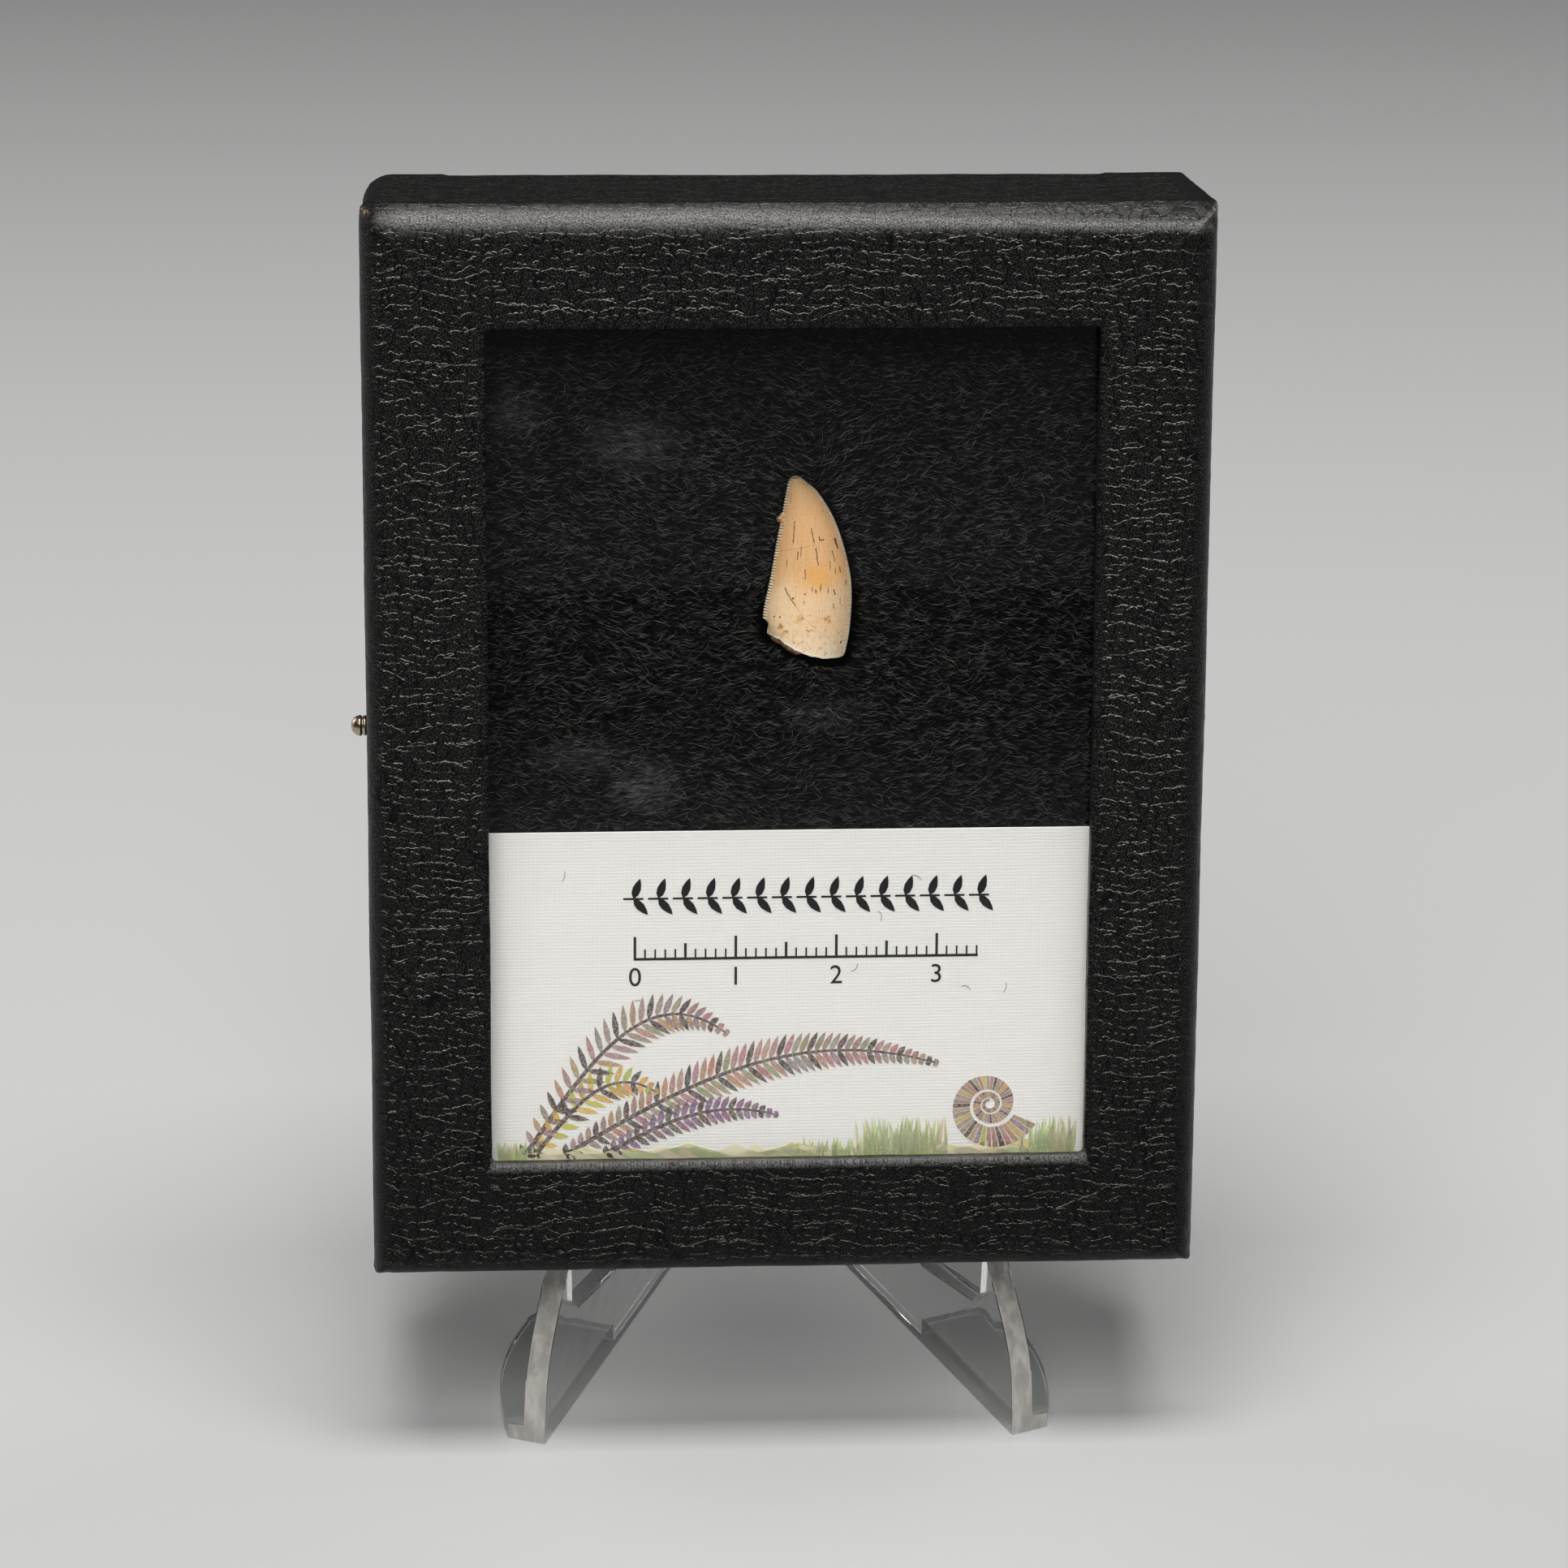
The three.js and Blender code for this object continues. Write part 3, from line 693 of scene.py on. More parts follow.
# The frieze. Its ground is patches of sand and moss, with tufts of grass on them.
picture = bmesh.new()
chance = random.Random(7)
ground_foot, print_left, print_right = 10.6, -28.9, 29.5
for patch in range(46):
    x = chance.uniform(-28.5, 28.0)
    long, tall = chance.uniform(1.5, 5.5), chance.uniform(0.7, 1.7)
    shade = chance.choice((ink_sand, ink_sand, ink_ochre_wash, ink_moss_wash))
    low, high = max(x - long, print_left), min(x + long, print_right)
    outline = [(low, ground_foot), (high, ground_foot), (high, ground_foot + 1.0),
               ((low + high) / 2, ground_foot + 0.7 + tall), (low, ground_foot + 1.0)]
    print_shape(picture, outline, [c * chance.uniform(0.93, 1.05) for c in shade])
for tuft in range(330):
    clump = chance.choice((-27.5, 5.0, 9.5, 10.5, 12.5, 14.5, 26.0, 27.5))
    x = min(29.0, max(-28.5, chance.gauss(clump, 1.2)))
    tall = chance.uniform(1.6, 4.4) * (0.55 if clump in (-27.5, 5.0) else 1.0)
    blade = leaf(x, ground_foot + 0.6, math.pi / 2 + chance.gauss(0, 0.15), tall, 0.32)
    print_shape(picture, blade, [c * chance.uniform(0.85, 1.2) for c in ink_green])
# A coiled shell lies at the right: a growing spiral of ribs.
shell_middle, shell_radius, shell_inner = Vector((20.5, 16.6)), 5.2, 0.53
shell_turns, shell_steps = 2.7, 110
for step in range(shell_steps):
    near, far = step / shell_steps, (step + 0.85) / shell_steps
    outline = []
    for share, rim in ((near, 1.0), (far, 1.0), (far, shell_inner), (near, shell_inner)):
        turn = 2 * math.pi * shell_turns * (share - 1) - 0.4
        radius = shell_radius * math.exp(-1.8 * (1 - share) * shell_turns / 2.2)
        arm = Vector((math.cos(turn), math.sin(turn))) * radius
        outline.append(shell_middle + arm * rim)
    base = (ink_mauve, ink_mauve, ink_dark, ink_mauve, ink_mauve, ink_ochre)[step % 6]
    print_shape(picture, outline, [c * chance.uniform(0.8, 1.2) for c in base])
# Fern fronds arch over from the left.
for root_x, root_z, reach, lift, leaflet, colour in (
    (-26.0, 12.0, 20.0, 14.5, 2.7, ink_mauve), (-22.0, 12.0, 37.0, 10.5, 2.5, ink_mauve),
    (-25.0, 12.0, 12.0, 7.5, 2.2, ink_ochre), (-18.0, 12.0, 17.0, 4.5, 1.7, ink_purple),
):
    steps = round(reach * 1.35)
    last = None
    for step in range(steps):
        share = step / (steps - 1)
        x = root_x + reach * share
        z = root_z + lift * math.sin(share * 2.1)
        slope = math.atan2(lift * 2.1 * math.cos(share * 2.1), reach)
        if last:
            print_shape(picture, bar(*last, x, z, 0.5 * (1 - 0.6 * share)), ink_dark)
        last = (x, z)
        size = leaflet * math.sin(math.pi * (0.12 + 0.86 * share)) + 0.3
        for side in (-1, 1):
            shade = ink_dark if step % 4 == 0 else colour
            blade = leaf(x, z, slope + side * 1.0, size, 0.62)
            print_shape(picture, blade, [c * chance.uniform(0.75, 1.35) for c in shade])
# A few specks of lint lie on the card.
for speck in range(7):
    x, z, turn = chance.uniform(-26, 27), chance.uniform(26, 43), chance.uniform(0, 3.1)
    for bit in range(4):
        end = (x + 0.28 * math.cos(turn), z + 0.28 * math.sin(turn))
        print_shape(picture, bar(x, z, *end, 0.07), (0.16, 0.15, 0.15))
        (x, z), turn = end, turn + chance.uniform(0.1, 0.6)
bmesh.ops.recalc_face_normals(picture, faces=picture.faces)
finish_piece("card_picture", picture, ink, smooth=False)


# ---------------------------------------------------------------- pane
# A thin clear sheet loose behind the lid's frame, a little hazed on the inside where the fibre
# has rubbed it.

def let_lamps_through(shader, tone):
    """Lets lamp light through a clear piece, so that it casts only a pale shadow."""
    tree = shader.id_data
    lamp_ray = add_node(tree, "LightPath").outputs["Is Shadow Ray"]
    let_through = add_node(tree, "BsdfTransparent", {0: (*tone, 1)}).outputs[0]
    sheet = add_node(tree, "MixShader", {0: lamp_ray, 1: shader.outputs[0], 2: let_through}).outputs[0]
    tree.links.new(sheet, tree.nodes["Material Output"].inputs["Surface"])


clear, tree, shader = start_finish("clear_pane", 0.0, 0.2)
place = box_place(tree)
# The hazed spots: where each lies, across and up, how wide and tall it is, and its strength.
haze_spots = ((-26.5, 87, 4, 3.4, 1.2), (-15, 84, 7, 4, 1.6), (-20, 53, 6, 2.4, 1.6),
              (-14, 50, 4.6, 3.8, 2.6), (3.5, 57, 6, 2.6, 1.1))
haze, haze_share = 0.0, 0.024
for x, z, wide, tall, strong in haze_spots:
    off = vector("SUBTRACT", place, (x, 0, z))
    off = vector("LENGTH", stretched(off, (1 / wide, 0, 1 / tall)))
    haze = reckon("ADD", spread(off, 1.0, 0.0, 0.0, strong), haze)
wisps = spread(grain(stretched(place, (0.4, 1, 1.5)), 1.6, 5.0, 0.75), 0.42, 0.68)
feed(shader, "Transmission Weight", reckon("MULTIPLY_ADD", times(haze, wisps), -haze_share, 1.0))
shader.inputs["IOR"].default_value = 1.46
shader.inputs["Base Color"].default_value = (0.985, 0.99, 0.985, 1)
let_lamps_through(shader, (0.93, 0.94, 0.93))
dress("window_pane", clear)


# ---------------------------------------------------------------- lid
# The upper half of the box: board wrapped in black grained leatherette, mitred and pinched over at
# the corners, creased along the front edges and rubbed to the board at the corner tips.

wall, front_thick = 1.5, 1.6
edge_round, window_round, back_round = 2.8, 0.5, 0.4
window_corner, outer_corner = 0.4, 0.6
rail_steps, round_steps, wall_steps = 20, 9, 22
face_long_cuts, face_short_cuts = 170, 130
skin_sway, skin_ripple, edge_ripple, skin_grain = 0.07, 0.028, 0.03, 0.012
fold_high, gutter_deep = 0.16, 0.14
paper_along, paper_behind, paper_thick = 9.0, 3.0, 0.13
crush_front, crush_more, crush_deep = 0.6, 2.6, 14.0

window_box = Vector((window_right - window_left, window_top - window_foot))
window_centre = Vector(((window_right + window_left) / 2, (window_top + window_foot) / 2))
outer_box, outer_centre = Vector((box_across, box_high)), Vector((0.0, box_high / 2))
rail = (box_high - window_top + window_foot) / 2


def quarter(radius, steps):
    """A quarter round between two faces: how far it is from the one it ends on, then the other."""
    turns = [math.pi / 2 * i / steps for i in range(steps + 1)]
    return [(radius * (1 - math.sin(turn)), radius * (1 - math.cos(turn))) for turn in turns]


# The rail's section from the window out and round to the inside of the wall: how far out from the
# window, in mm, and how deep behind the face.
section = [(0.0, front_thick)]
section += [(off, deep) for deep, off in quarter(window_round, 4)]
section += [(out, 0.0) for out in np.linspace(window_round, rail - edge_round, rail_steps + 1)[1:-1]]
section += [(rail - off, deep) for off, deep in quarter(edge_round, round_steps)]
section += [(rail, deep) for deep in np.linspace(edge_round, box_deep - back_round, wall_steps + 1)[1:]]
section += [(rail - off, box_deep - deep) for deep, off in quarter(back_round, 3)[1:]]
inner = rail - wall
section += [(inner + back_round, box_deep), (inner, box_deep - back_round), (inner, front_thick)]

# The section is swept round the window: one ring of edges is extruded from step to step.
lid = bmesh.new()
sheet = bmesh.ops.create_grid(lid, x_segments=1, y_segments=1, size=0.5)["verts"]
bmesh.ops.transform(lid, matrix=Matrix.Diagonal((window_box.x, 1, window_box.y, 1)) @ stand_up, verts=sheet)
bmesh.ops.bevel(lid, geom=sheet, offset=window_corner, offset_type="OFFSET", segments=4, profile=0.5,
                affect="VERTICES", material=-1, clamp_overlap=True)
bmesh.ops.delete(lid, geom=list(lid.faces), context="FACES_ONLY")
tall = [e for e in lid.edges if e.calc_length() > 0.9 * window_box.y]
wide = [e for e in lid.edges if 0.9 * window_box.x < e.calc_length() < window_box.x]
bmesh.ops.subdivide_edges(lid, edges=tall, cuts=face_long_cuts)
bmesh.ops.subdivide_edges(lid, edges=wide, cuts=face_short_cuts)
middle_layer = lid.verts.layers.float_vector.new("middle")
outward_layer = lid.verts.layers.float_vector.new("outward")
half = window_box / 2 - Vector((window_corner, window_corner))
for vert in lid.verts:
    flat = Vector((max(-half.x, min(half.x, vert.co.x)), 0, max(-half.y, min(half.y, vert.co.z))))
    vert[middle_layer] = (flat.x / half.x, 0, flat.z / half.y)
    vert[outward_layer] = (vert.co - flat) / window_corner


def place_ring(verts, out, deep):
    """Spreads a ring of vertices to its rounded rectangle, between the window and the outside."""
    share = out / rail
    size, centre = window_box.lerp(outer_box, share), window_centre.lerp(outer_centre, share)
    corner = window_corner + (outer_corner - window_corner) * share
    for vert in verts:
        flat, outward = vert[middle_layer], vert[outward_layer]
        vert.co.x = centre.x + flat.x * (size.x / 2 - corner) + outward.x * corner
        vert.co.z = centre.y + flat.z * (size.y / 2 - corner) + outward.z * corner
        vert.co.y = deep


ring = list(lid.edges)
place_ring(lid.verts, *section[0])
for step in section[1:] + section[:1]:
    made = bmesh.ops.extrude_edge_only(lid, edges=ring)["geom"]
    ring = [e for e in made if isinstance(e, bmesh.types.BMEdge)]
    place_ring([v for v in made if isinstance(v, bmesh.types.BMVert)], *step)
bmesh.ops.remove_doubles(lid, verts=lid.verts, dist=0.002)
bmesh.ops.recalc_face_normals(lid, faces=lid.faces)
lid.normal_update()

# The board and its skin are never quite flat, and the skin is pinched up along the mitres.
moves = []
for vert in lid.verts:
    x, y, z = vert.co
    sway = noise.noise(Vector((x / 13, y / 9, z / 13))) - 0.4
    ripple = noise.noise(Vector((x / 2.6, y / 1.6, z / 1.25 + 40)))
    small = noise.noise(Vector((x / 0.9, y / 0.8, z / 0.6 + 90)))
    rippled = skin_ripple + edge_ripple * falloff(y - 0.7, 1.4)
    shift = skin_sway * sway + rippled * ripple + skin_grain * small
    edge_x, edge_z = box_across / 2 - abs(x), min(z, box_high - z)
    if edge_x < 5 and edge_z < 5 and y < 7:
        fold, gutter = falloff(edge_x - edge_z, 0.45), falloff(abs(edge_x - edge_z) - 1.0, 0.5)
        shift += (fold_high * fold - gutter_deep * gutter) * falloff(y, 2.6)
    # The side paper is turned in over the top and the foot, and ends in a low step.
    if edge_z < 0.4 and y > paper_behind and edge_x < paper_along + 0.4 * math.sin(y * 1.7):
        shift += paper_thick
    inside = y > 1.65 and edge_x > 0.9 and edge_z > 0.9
    move = vert.normal * (0 if inside else shift - 0.06)
    # The left top corner is crushed round, more so toward the back.
    crushed = crush_front + crush_more * min(1.0, y / crush_deep)
    past = math.hypot(crushed - edge_x, crushed - edge_z) / crushed
    if x < 0 and z > 50 and not inside and max(edge_x, edge_z) < crushed and past > 1:
        move += Vector((crushed - edge_x, 0, edge_z - crushed)) * (1 - 1 / past)
    moves.append((vert, move))
for vert, move in moves:
    vert.co += move

# What the skin's pattern reads at each point: where it lay before it was folded round the board,
# across and up in mm, how far it is worn bare, how much it is drawn smooth, and where a highlight is painted.
hide_layer = lid.verts.layers.float_vector.new("hide_place")
worn_layer = lid.verts.layers.float.new("worn")
calm_layer = lid.verts.layers.float.new("calm")
painted_highlight_layer = lid.verts.layers.float.new("painted_highlight")
# Wear at the corner tips: how far it spreads, as an area, and its strength.
left_tip, right_tip, foot_tip = (7.0, 0.85), (2.6, 1.1), (1.2, 0.75)
edge_wear, back_wear, sill_highlight = 0.15, 0.55, 0.45
left_calm, right_calm, window_calm, foot_calm = 1.9, 3.0, 1.1, 2.0
for vert in lid.verts:
    x, y, z = vert.co
    at_left, at_top = x < 0, z > 90
    edge_x, edge_z = box_across / 2 - abs(x), min(z, box_high - z)
    if edge_x < edge_z:
        vert[hide_layer] = (x + math.copysign(y, x), 0.0, z)
    else:
        vert[hide_layer] = (x, 0.0, z + math.copysign(y, z - box_high / 2))

    tip_area, tip_wear = (left_tip if at_left else right_tip) if at_top else foot_tip
    tip = tip_wear * math.exp(-(edge_x ** 2 + edge_z ** 2 + (y - 0.8) ** 2) / tip_area)
    edge_line = edge_wear * math.exp(-(min(edge_x ** 2, edge_z ** 2) + (y - 0.7) ** 2) / 0.5)
    back_line = back_wear * math.exp(-((box_deep - y) ** 2) / 0.06)
    vert[worn_layer] = max(tip, edge_line, back_line)

    out_x, out_z = abs(x - window_centre.x) - window_box.x / 2, abs(z - window_centre.y) - window_box.y / 2
    side_calm = left_calm if at_left else right_calm
    by_window = 1 - max(out_x, out_z) / window_calm
    vert[calm_layer] = max(by_window, 1 - edge_x / side_calm, 1 - z / foot_calm, 0.0)

    # The painted highlight along the top edge is broad at the left and draws in to a line at the right, which
    # climbs the mitre.
    turn = math.degrees(math.atan2(z - box_high + edge_round, edge_round - y))
    rightward = clamp((x + 5) / 40)
    line = (0.85 + 0.15 * rightward) * falloff(turn - 36 + 20 * rightward, 22 - 13 * rightward)
    bloom = (0.4 - 0.22 * rightward) * falloff(turn - 50, 28)
    on_top = max(line, bloom) if y <= edge_round and edge_x >= 0.4 else 0.0
    if at_left:
        on_top *= clamp((edge_x - 1.2) / 2.8)
    elif edge_x < 2.4 and at_top and y < edge_round:
        on_top = max(on_top * min(1.0, edge_x / 2.4), 0.9 * falloff(edge_x - edge_z, 0.28))
    # A narrow painted highlight also runs along the lower edge of the window.
    on_sill = abs(z - window_foot + 0.1) < 0.6 and out_x < 0.3 and y < 0.7
    vert[painted_highlight_layer] = max(on_top, sill_highlight * on_sill)

leatherette, tree, shader = start_finish("black_leatherette", 0.42, 0.14)
place = layer_value(tree, "hide_place", "Vector")
across, _, up = add_node(tree, "SeparateXYZ", {0: place}).outputs


def creases(pitch, tilt, arcs, seed, missing):
    """Rows of creases that run across, each row broken up into short arcs: 1 on a crease."""
    moved = vector("ADD", place, (seed, seed, seed))
    level = reckon("MULTIPLY_ADD", across, tilt, up)
    for slow, sway in (((0.10, 0, 0.05), 5.0), ((0.60, 0, 0.30), 0.75), ((2.4, 0, 0.8), 0.33)):
        wave = grain(stretched(moved, slow), 1.0, 1.0)
        level = reckon("MULTIPLY_ADD", wave, sway, level)
    level = reckon("DIVIDE", level, pitch)
    row = reckon("FLOOR", level)
    own = add_node(tree, "CombineXYZ", {0: times(across, 0.35), 1: times(row, 7.3)})
    uneven = times(grain(own.outputs[0], 1.0, 1.0), 3.5)
    along = reckon("MULTIPLY_ADD", across, arcs, uneven)
    phase = reckon("ABSOLUTE", reckon("SUBTRACT", reckon("FRACT", along), 0.5))
    sag = times(times(phase, phase), 0.55 / pitch)
    gap = reckon("ADD", reckon("SUBTRACT", reckon("FRACT", level), 0.5), sag)
    which = add_node(tree, "CombineXYZ", {0: reckon("FLOOR", along), 1: row, 2: seed}).outputs[0]
    odds = add_node(tree, "TexWhiteNoise", {"Vector": which}, noise_dimensions="3D").outputs[0]
    here = times(spread(phase, 0.48, 0.33), spread(odds, missing, missing + 0.4))
    return times(spread(reckon("ABSOLUTE", gap), 0.055 / pitch, 0.01 / pitch), here)


# Each set's pitch in mm, tilt, arcs to the mm, place in the noise and share of arcs left out.
crease_sets = ((1.75, 0.0, 0.95, 0.0, 0.28), (4.6, -0.12, 0.8, 31.0, 0.45), (0.85, 0.1, 2.4, 57.0, 0.5))
lines = widest([creases(*each) for each in crease_sets])
lines = times(lines, spread(layer_value(tree, "calm"), 0.0, 0.4, 1.0, 0.06))
painted_highlight = layer_value(tree, "painted_highlight")
shaken = vector("MULTIPLY_ADD", grain(place, 0.8, 3.0, 0.6, output="Color"), (1.6, 0, 1.6), place)
plates = add_node(tree, "TexVoronoi", {"Vector": stretched(shaken, (0.62, 1.0, 0.50)), "Scale": 1.0},
                  feature="DISTANCE_TO_EDGE").outputs[0]
seams = times(spread(plates, 0.05, 0.012), spread(painted_highlight, 0.0, 0.5, 1.0, 0.2))
beaded = spread(grain(place, 5.5, 1.0), 0.38, 0.60, 0.25, 1.0)
pebble = grain(place, 4.2, 2.0, 0.7)
salt = spread(grain(stretched(place, (8.0, 1.0, 6.0)), 1.0, 2.0, 0.7), 0.50, 0.64)

# The grain's pale specks are a painted glint. They are painted on the front and the side walls, fewer on the
# top, and on the front they thin out towards the foot as painted shade.
deep = add_node(tree, "SeparateXYZ", {0: box_place(tree)}).outputs[1]
on_front = times(spread(deep, 3.3, 2.5, 0.25, 1.0), spread(up, 2.0, 40.0, 0.6, 1.0))
on_front = reckon("MAXIMUM", on_front, spread(reckon("ABSOLUTE", across), 43.5, 46.0, 0.0, 0.85))
hide = tint(times(salt, on_front), (0.0008, 0.0007, 0.0007), (0.070, 0.067, 0.063))

# The rounded top edge and the lower edge of the window get a painted highlight, with a wrinkled grain in it.
wrinkled = spread(grain(stretched(place, (5.5, 1.0, 4.5)), 1.0, 3.0, 0.75), 0.38, 0.60, 0.08, 1.0)
hide = tint(times(painted_highlight, wrinkled), hide, (0.42, 0.412, 0.40))
# Dark crease lines across the painted highlight are painted shade under the creases.
crease_shadow_lines = reckon("MAXIMUM", lines, creases(1.1, 0.12, 1.3, 83.0, 0.3))
hide = tint(times(crease_shadow_lines, spread(painted_highlight, 0.1, 0.5)), hide, (0.003, 0.003, 0.003))
hide = tint(times(seams, 0.9), hide, (0.0005, 0.0005, 0.0005))
# The creases are painted pale as a glint on their edges, beaded along their length, fainter over the painted
# highlight and towards the foot.
on_flat = times(on_front, spread(painted_highlight, 0.3, 0.9, 1.0, 0.4))
hide = tint(times(times(lines, beaded), on_flat), hide, (0.82, 0.80, 0.71))

# Where the skin is worn through, the frayed edge shows the raw board.
frayed = grain(box_place(tree), 3.0, 4.0, 0.75)
bare = spread(reckon("SUBTRACT", times(layer_value(tree, "worn"), 1.25), frayed), 0.18, 0.32)
raw = tint(spread(frayed, 0.46, 0.62), (0.008, 0.006, 0.005), (0.40, 0.32, 0.25))
feed(shader, "Base Color", tint(bare, hide, raw))
rise = reckon("MULTIPLY_ADD", pebble, 0.4, times(salt, 0.15))
for sunk in (lines, seams, times(bare, 0.8)):
    rise = reckon("SUBTRACT", rise, sunk)
relief(shader, rise, 0.10)

# The hide is drawn smooth over the front edges and is dull on the sides.
dull = reckon("ADD", spread(deep, 0.1, 1.2, 0.46, 0.30), spread(deep, 1.8, 3.4, 0.0, 0.45))
feed(shader, "Roughness", dull)

box_lid = finish_piece("box_lid", lid, leatherette)
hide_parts("lid")


# ---------------------------------------------------------------- pins
# Two steel pins with small domed heads, pushed through the lid's and the tray's walls from the
# sides, which hold the box shut.

steel, tree, shader = start_finish("pin_steel", 0.28)
shader.inputs["Metallic"].default_value = 1.0
drawn = grain(box_place(tree), 3.0, 3.0)
feed(shader, "Base Color", tint(drawn, (0.32, 0.24, 0.165), (0.62, 0.53, 0.42)))
feed(shader, "Roughness", spread(drawn, 0.3, 0.7, 0.2, 0.38))

pin_height, pin_deep = 54.0, box_deep / 2
head_radius, head_thick, shaft_radius, pin_length = 1.05, 1.6, 0.32, 12.0
# The pin from its point out: radius, and how far out from the wall. The head is a flat collar with
# a groove and a dome over it, given as shares of its radius and its thickness.
pin_profile = [(0.0, -pin_length), (0.1, 0.8 - pin_length)]
pin_profile += [(shaft_radius, 2.4 - pin_length), (shaft_radius, 0.0)]
head_shape = ((0.84, 0.0125), (0.96, 0.08), (0.97, 0.2), (0.84, 0.28), (0.86, 0.33), (1.0, 0.38), (1.0, 0.46),
              (0.92, 0.64), (0.74, 0.82), (0.45, 0.95), (0.2, 0.99), (0.0, 1.0))
pin_profile += [(head_radius * wide, head_thick * out) for wide, out in head_shape]
for side, node in ((-1, "pin_left"), (1, "pin_right")):
    pin = bmesh.new()
    line = [pin.verts.new((side * (box_across / 2 + far), 0, radius)) for radius, far in pin_profile]
    strokes = [pin.edges.new(pair) for pair in zip(line, line[1:])]
    bmesh.ops.spin(pin, geom=line + strokes, cent=(0, 0, 0), axis=(1, 0, 0), angle=2 * math.pi,
                   steps=32, use_merge=True)
    bmesh.ops.remove_doubles(pin, verts=pin.verts, dist=0.001)
    bmesh.ops.recalc_face_normals(pin, faces=pin.faces)
    bmesh.ops.translate(pin, vec=(0, pin_deep, pin_height), verts=pin.verts)
    steel_pin = finish_piece("steel_" + node, pin, steel)
    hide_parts(node)


# ---------------------------------------------------------------- easel
# One clear acrylic moulding: two webs in a vee that meet at a round spine, a foot outside each
# toe, a lip in front of the seat, and a post behind that the box leans on.

acrylic, tree, shader = start_finish("clear_acrylic", 0.03)
place = add_node(tree, "TexCoord").outputs["Object"]
shader.inputs["IOR"].default_value = 1.49
frosted = layer_value(tree, "frosted")
streaky = grain(stretched(place, (900.0, 900.0, 260.0)), 1.0, 3.0, 0.6)
cloud = tint(spread(streaky, 0.35, 0.7), (0.60, 0.57, 0.52), (0.92, 0.88, 0.82))
feed(shader, "Base Color", tint(frosted, (0.985, 0.99, 0.985), cloud))
feed(shader, "Transmission Weight", spread(frosted, 0.0, 1.0, 1.0, 0.3))
rub = spread(grain(place, 420.0, 4.0, 0.6), 0.45, 0.7, 0.015, 0.16)
feed(shader, "Roughness", reckon("ADD", rub, times(frosted, 0.35)))
relief(shader, grain(place, 90.0, 2.0), 0.12)
let_lamps_through(shader, (0.80, 0.81, 0.80))

eased_edge, sharp_angle = 0.00022, math.radians(35)
toe_end_lean, toe_end_y = -0.7, -0.024

easel = bmesh.new()
easel.from_mesh(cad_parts["easel"].data)
bmesh.ops.remove_doubles(easel, verts=easel.verts, dist=0.00001)
bmesh.ops.dissolve_limit(easel, angle_limit=math.radians(1.0), verts=easel.verts, edges=easel.edges)
sharp = [e for e in easel.edges if len(e.link_faces) == 2 and e.calc_face_angle(0.0) > sharp_angle]
bmesh.ops.bevel(easel, geom=sharp, offset=eased_edge, offset_type="OFFSET", segments=2, profile=0.5,
                affect="EDGES", material=-1, clamp_overlap=True, loop_slide=True)
# The moulded end faces of the toes are matt.
frosted_layer = easel.faces.layers.float.new("frosted")
easel.normal_update()
for face in easel.faces:
    at_end = face.normal.y < toe_end_lean and face.calc_center_median().y < toe_end_y
    face[frosted_layer] = float(at_end)
clear_easel = finish_piece("clear_easel", easel, acrylic, smooth=False, place=Matrix.Identity(4))
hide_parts("easel")


# ---------------------------------------------------------------- studio
# A plain pale floor, one large soft light high in front, one overhead and two weak ones behind, and
# the camera a little left of the box and well above it.

floor_finish, tree, shader = start_finish("pale_floor", 0.85, 0.2)
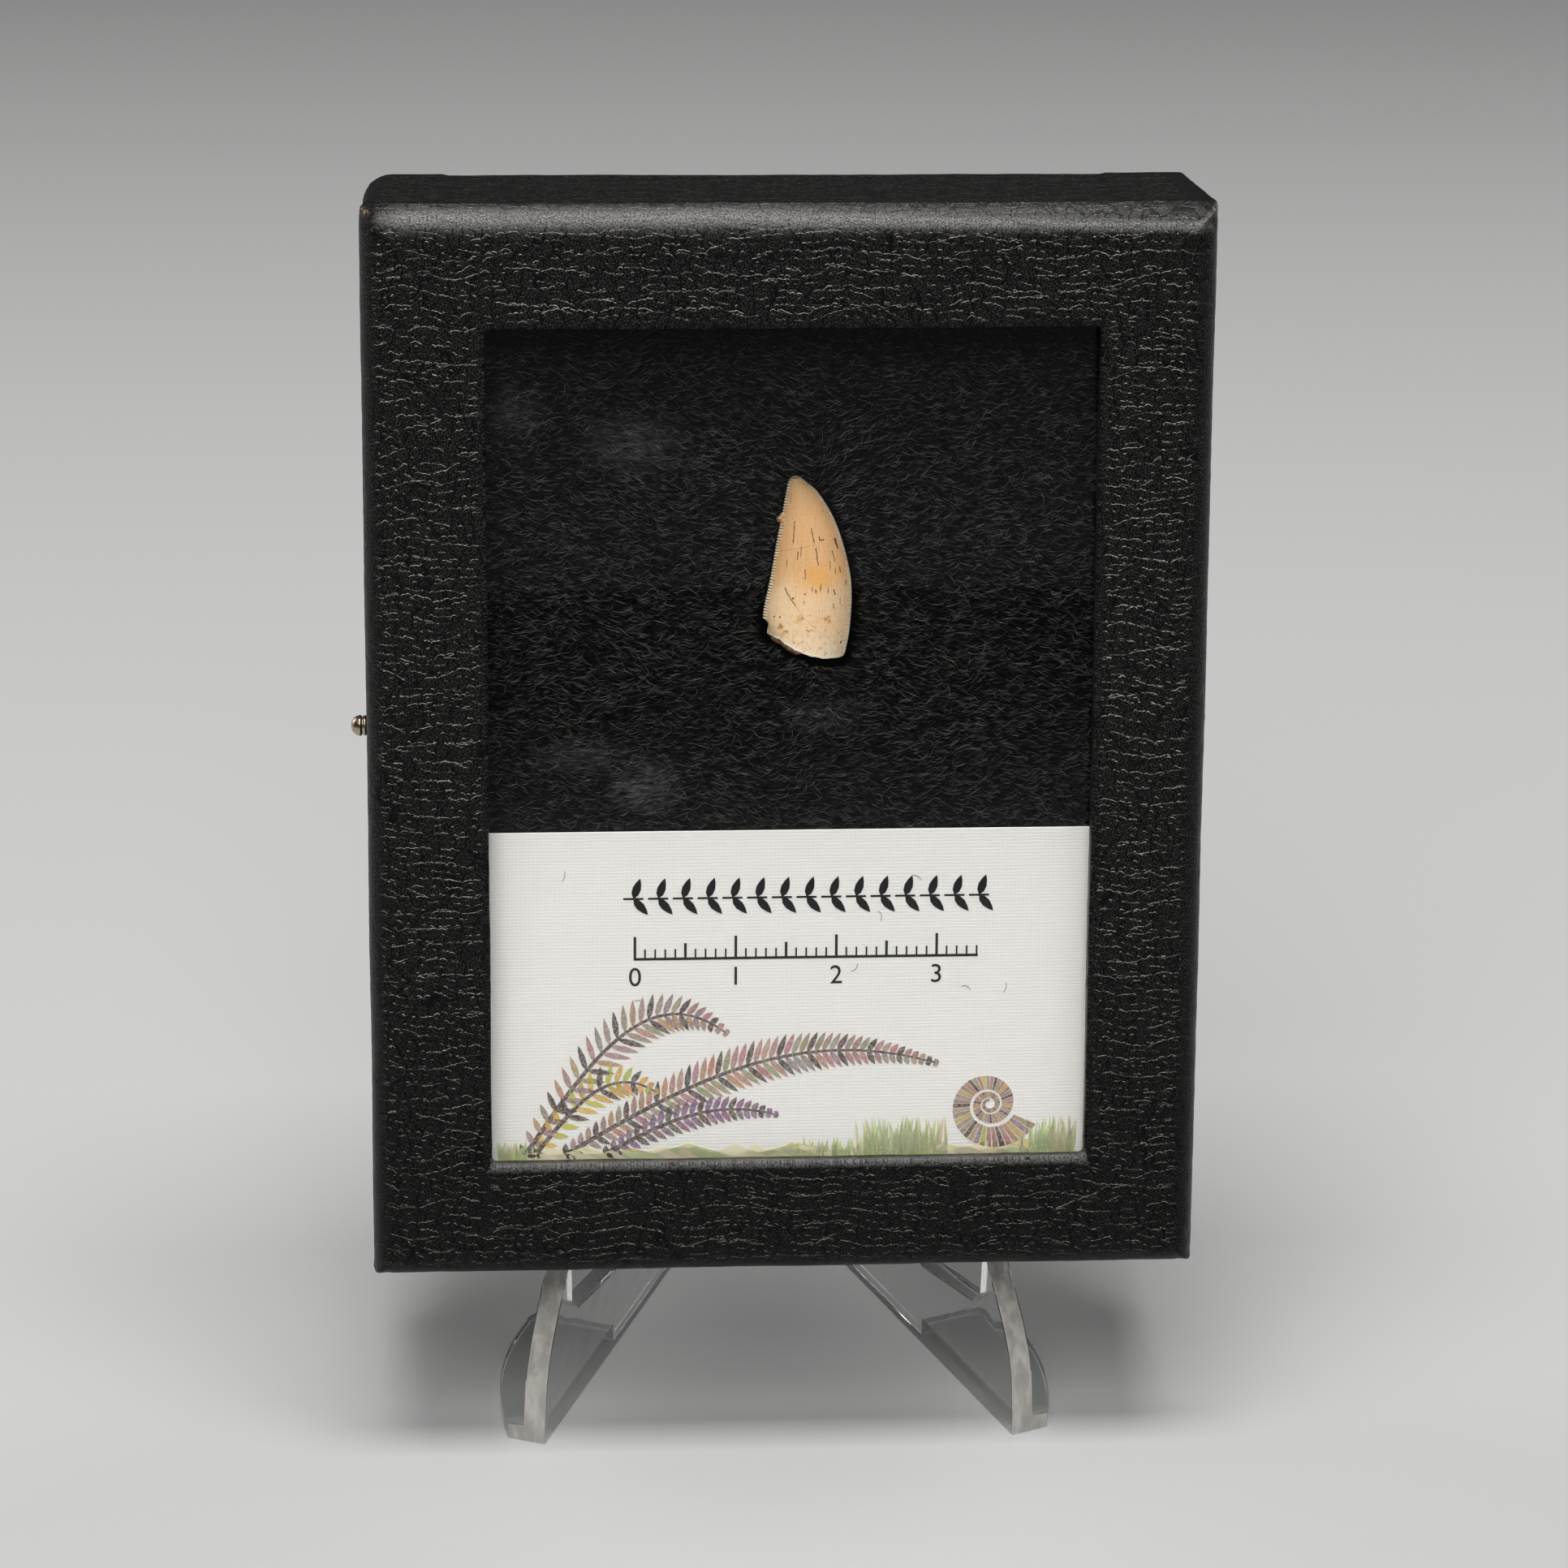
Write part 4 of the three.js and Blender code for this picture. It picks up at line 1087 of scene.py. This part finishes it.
# The floor is painted paler near the box and darker further out, a painted pool of light.
from_middle = vector("LENGTH", add_node(tree, "TexCoord").outputs["Object"])
feed(shader, "Base Color", tint(spread(from_middle, 0.2, 1.0), (0.60, 0.60, 0.595), (0.20, 0.20, 0.20)))
floor = bmesh.new()
bmesh.ops.create_grid(floor, x_segments=1, y_segments=1, size=3.0)
floor_mesh = bpy.data.meshes.new("floor")
floor.to_mesh(floor_mesh)
floor.free()
floor_mesh.materials.append(floor_finish)
floor_plane = bpy.data.objects.new("floor", floor_mesh)
bpy.context.scene.collection.objects.link(floor_plane)


def soft_light(name, spot, aim, wide, high, watts):
    """A rectangular lamp at spot, turned to aim."""
    lamp = bpy.data.lights.new(name, "AREA")
    lamp.shape, lamp.size, lamp.size_y, lamp.energy = "RECTANGLE", wide, high, watts
    holder = bpy.data.objects.new(name, lamp)
    holder.location = spot
    holder.rotation_euler = (Vector(aim) - Vector(spot)).to_track_quat("-Z", "Y").to_euler()
    bpy.context.scene.collection.objects.link(holder)


soft_light("front_softbox", (-0.12, -0.50, 0.72), (0.0, 0.0, 0.07), 0.50, 0.42, 2.7)
soft_light("top_softbox", (0.0, -0.08, 0.75), (0.0, 0.0, 0.1), 0.5, 0.2, 3.6)
# Weak fills from behind each side show the walls and the back without reaching the front.
for side in (-1, 1):
    soft_light(f"back_fill_{side}", (side * 0.60, 0.36, 0.30), (0.0, 0.0, 0.06), 0.4, 0.4, 1.3)

world = bpy.data.worlds.new("studio")
world.use_nodes = True
world.node_tree.nodes["Background"].inputs["Color"].default_value = (1.0, 0.99, 0.98, 1)
world.node_tree.nodes["Background"].inputs["Strength"].default_value = 0.06
bpy.context.scene.world = world
bpy.context.scene.view_settings.view_transform = "Standard"

# The camera's place in metres, and how far it is turned to the right, down and about its own axis.
camera_place = (-0.032498, -0.461467, 0.264263)
camera_bearing, camera_pitch, camera_roll = (math.radians(a) for a in (4.186, 23.937, 1.07))
lens = bpy.data.cameras.new("camera")
lens.sensor_width, lens.lens = 36.0, 112.62
lens.clip_start, lens.clip_end = 0.01, 20.0
camera = bpy.data.objects.new("camera", lens)
look = (Matrix.Rotation(-camera_bearing, 4, "Z") @ Matrix.Rotation(math.pi / 2 - camera_pitch, 4, "X")
        @ Matrix.Rotation(camera_roll, 4, "Z"))
camera.matrix_world = Matrix.Translation(camera_place) @ look
bpy.context.scene.collection.objects.link(camera)
bpy.context.scene.camera = camera
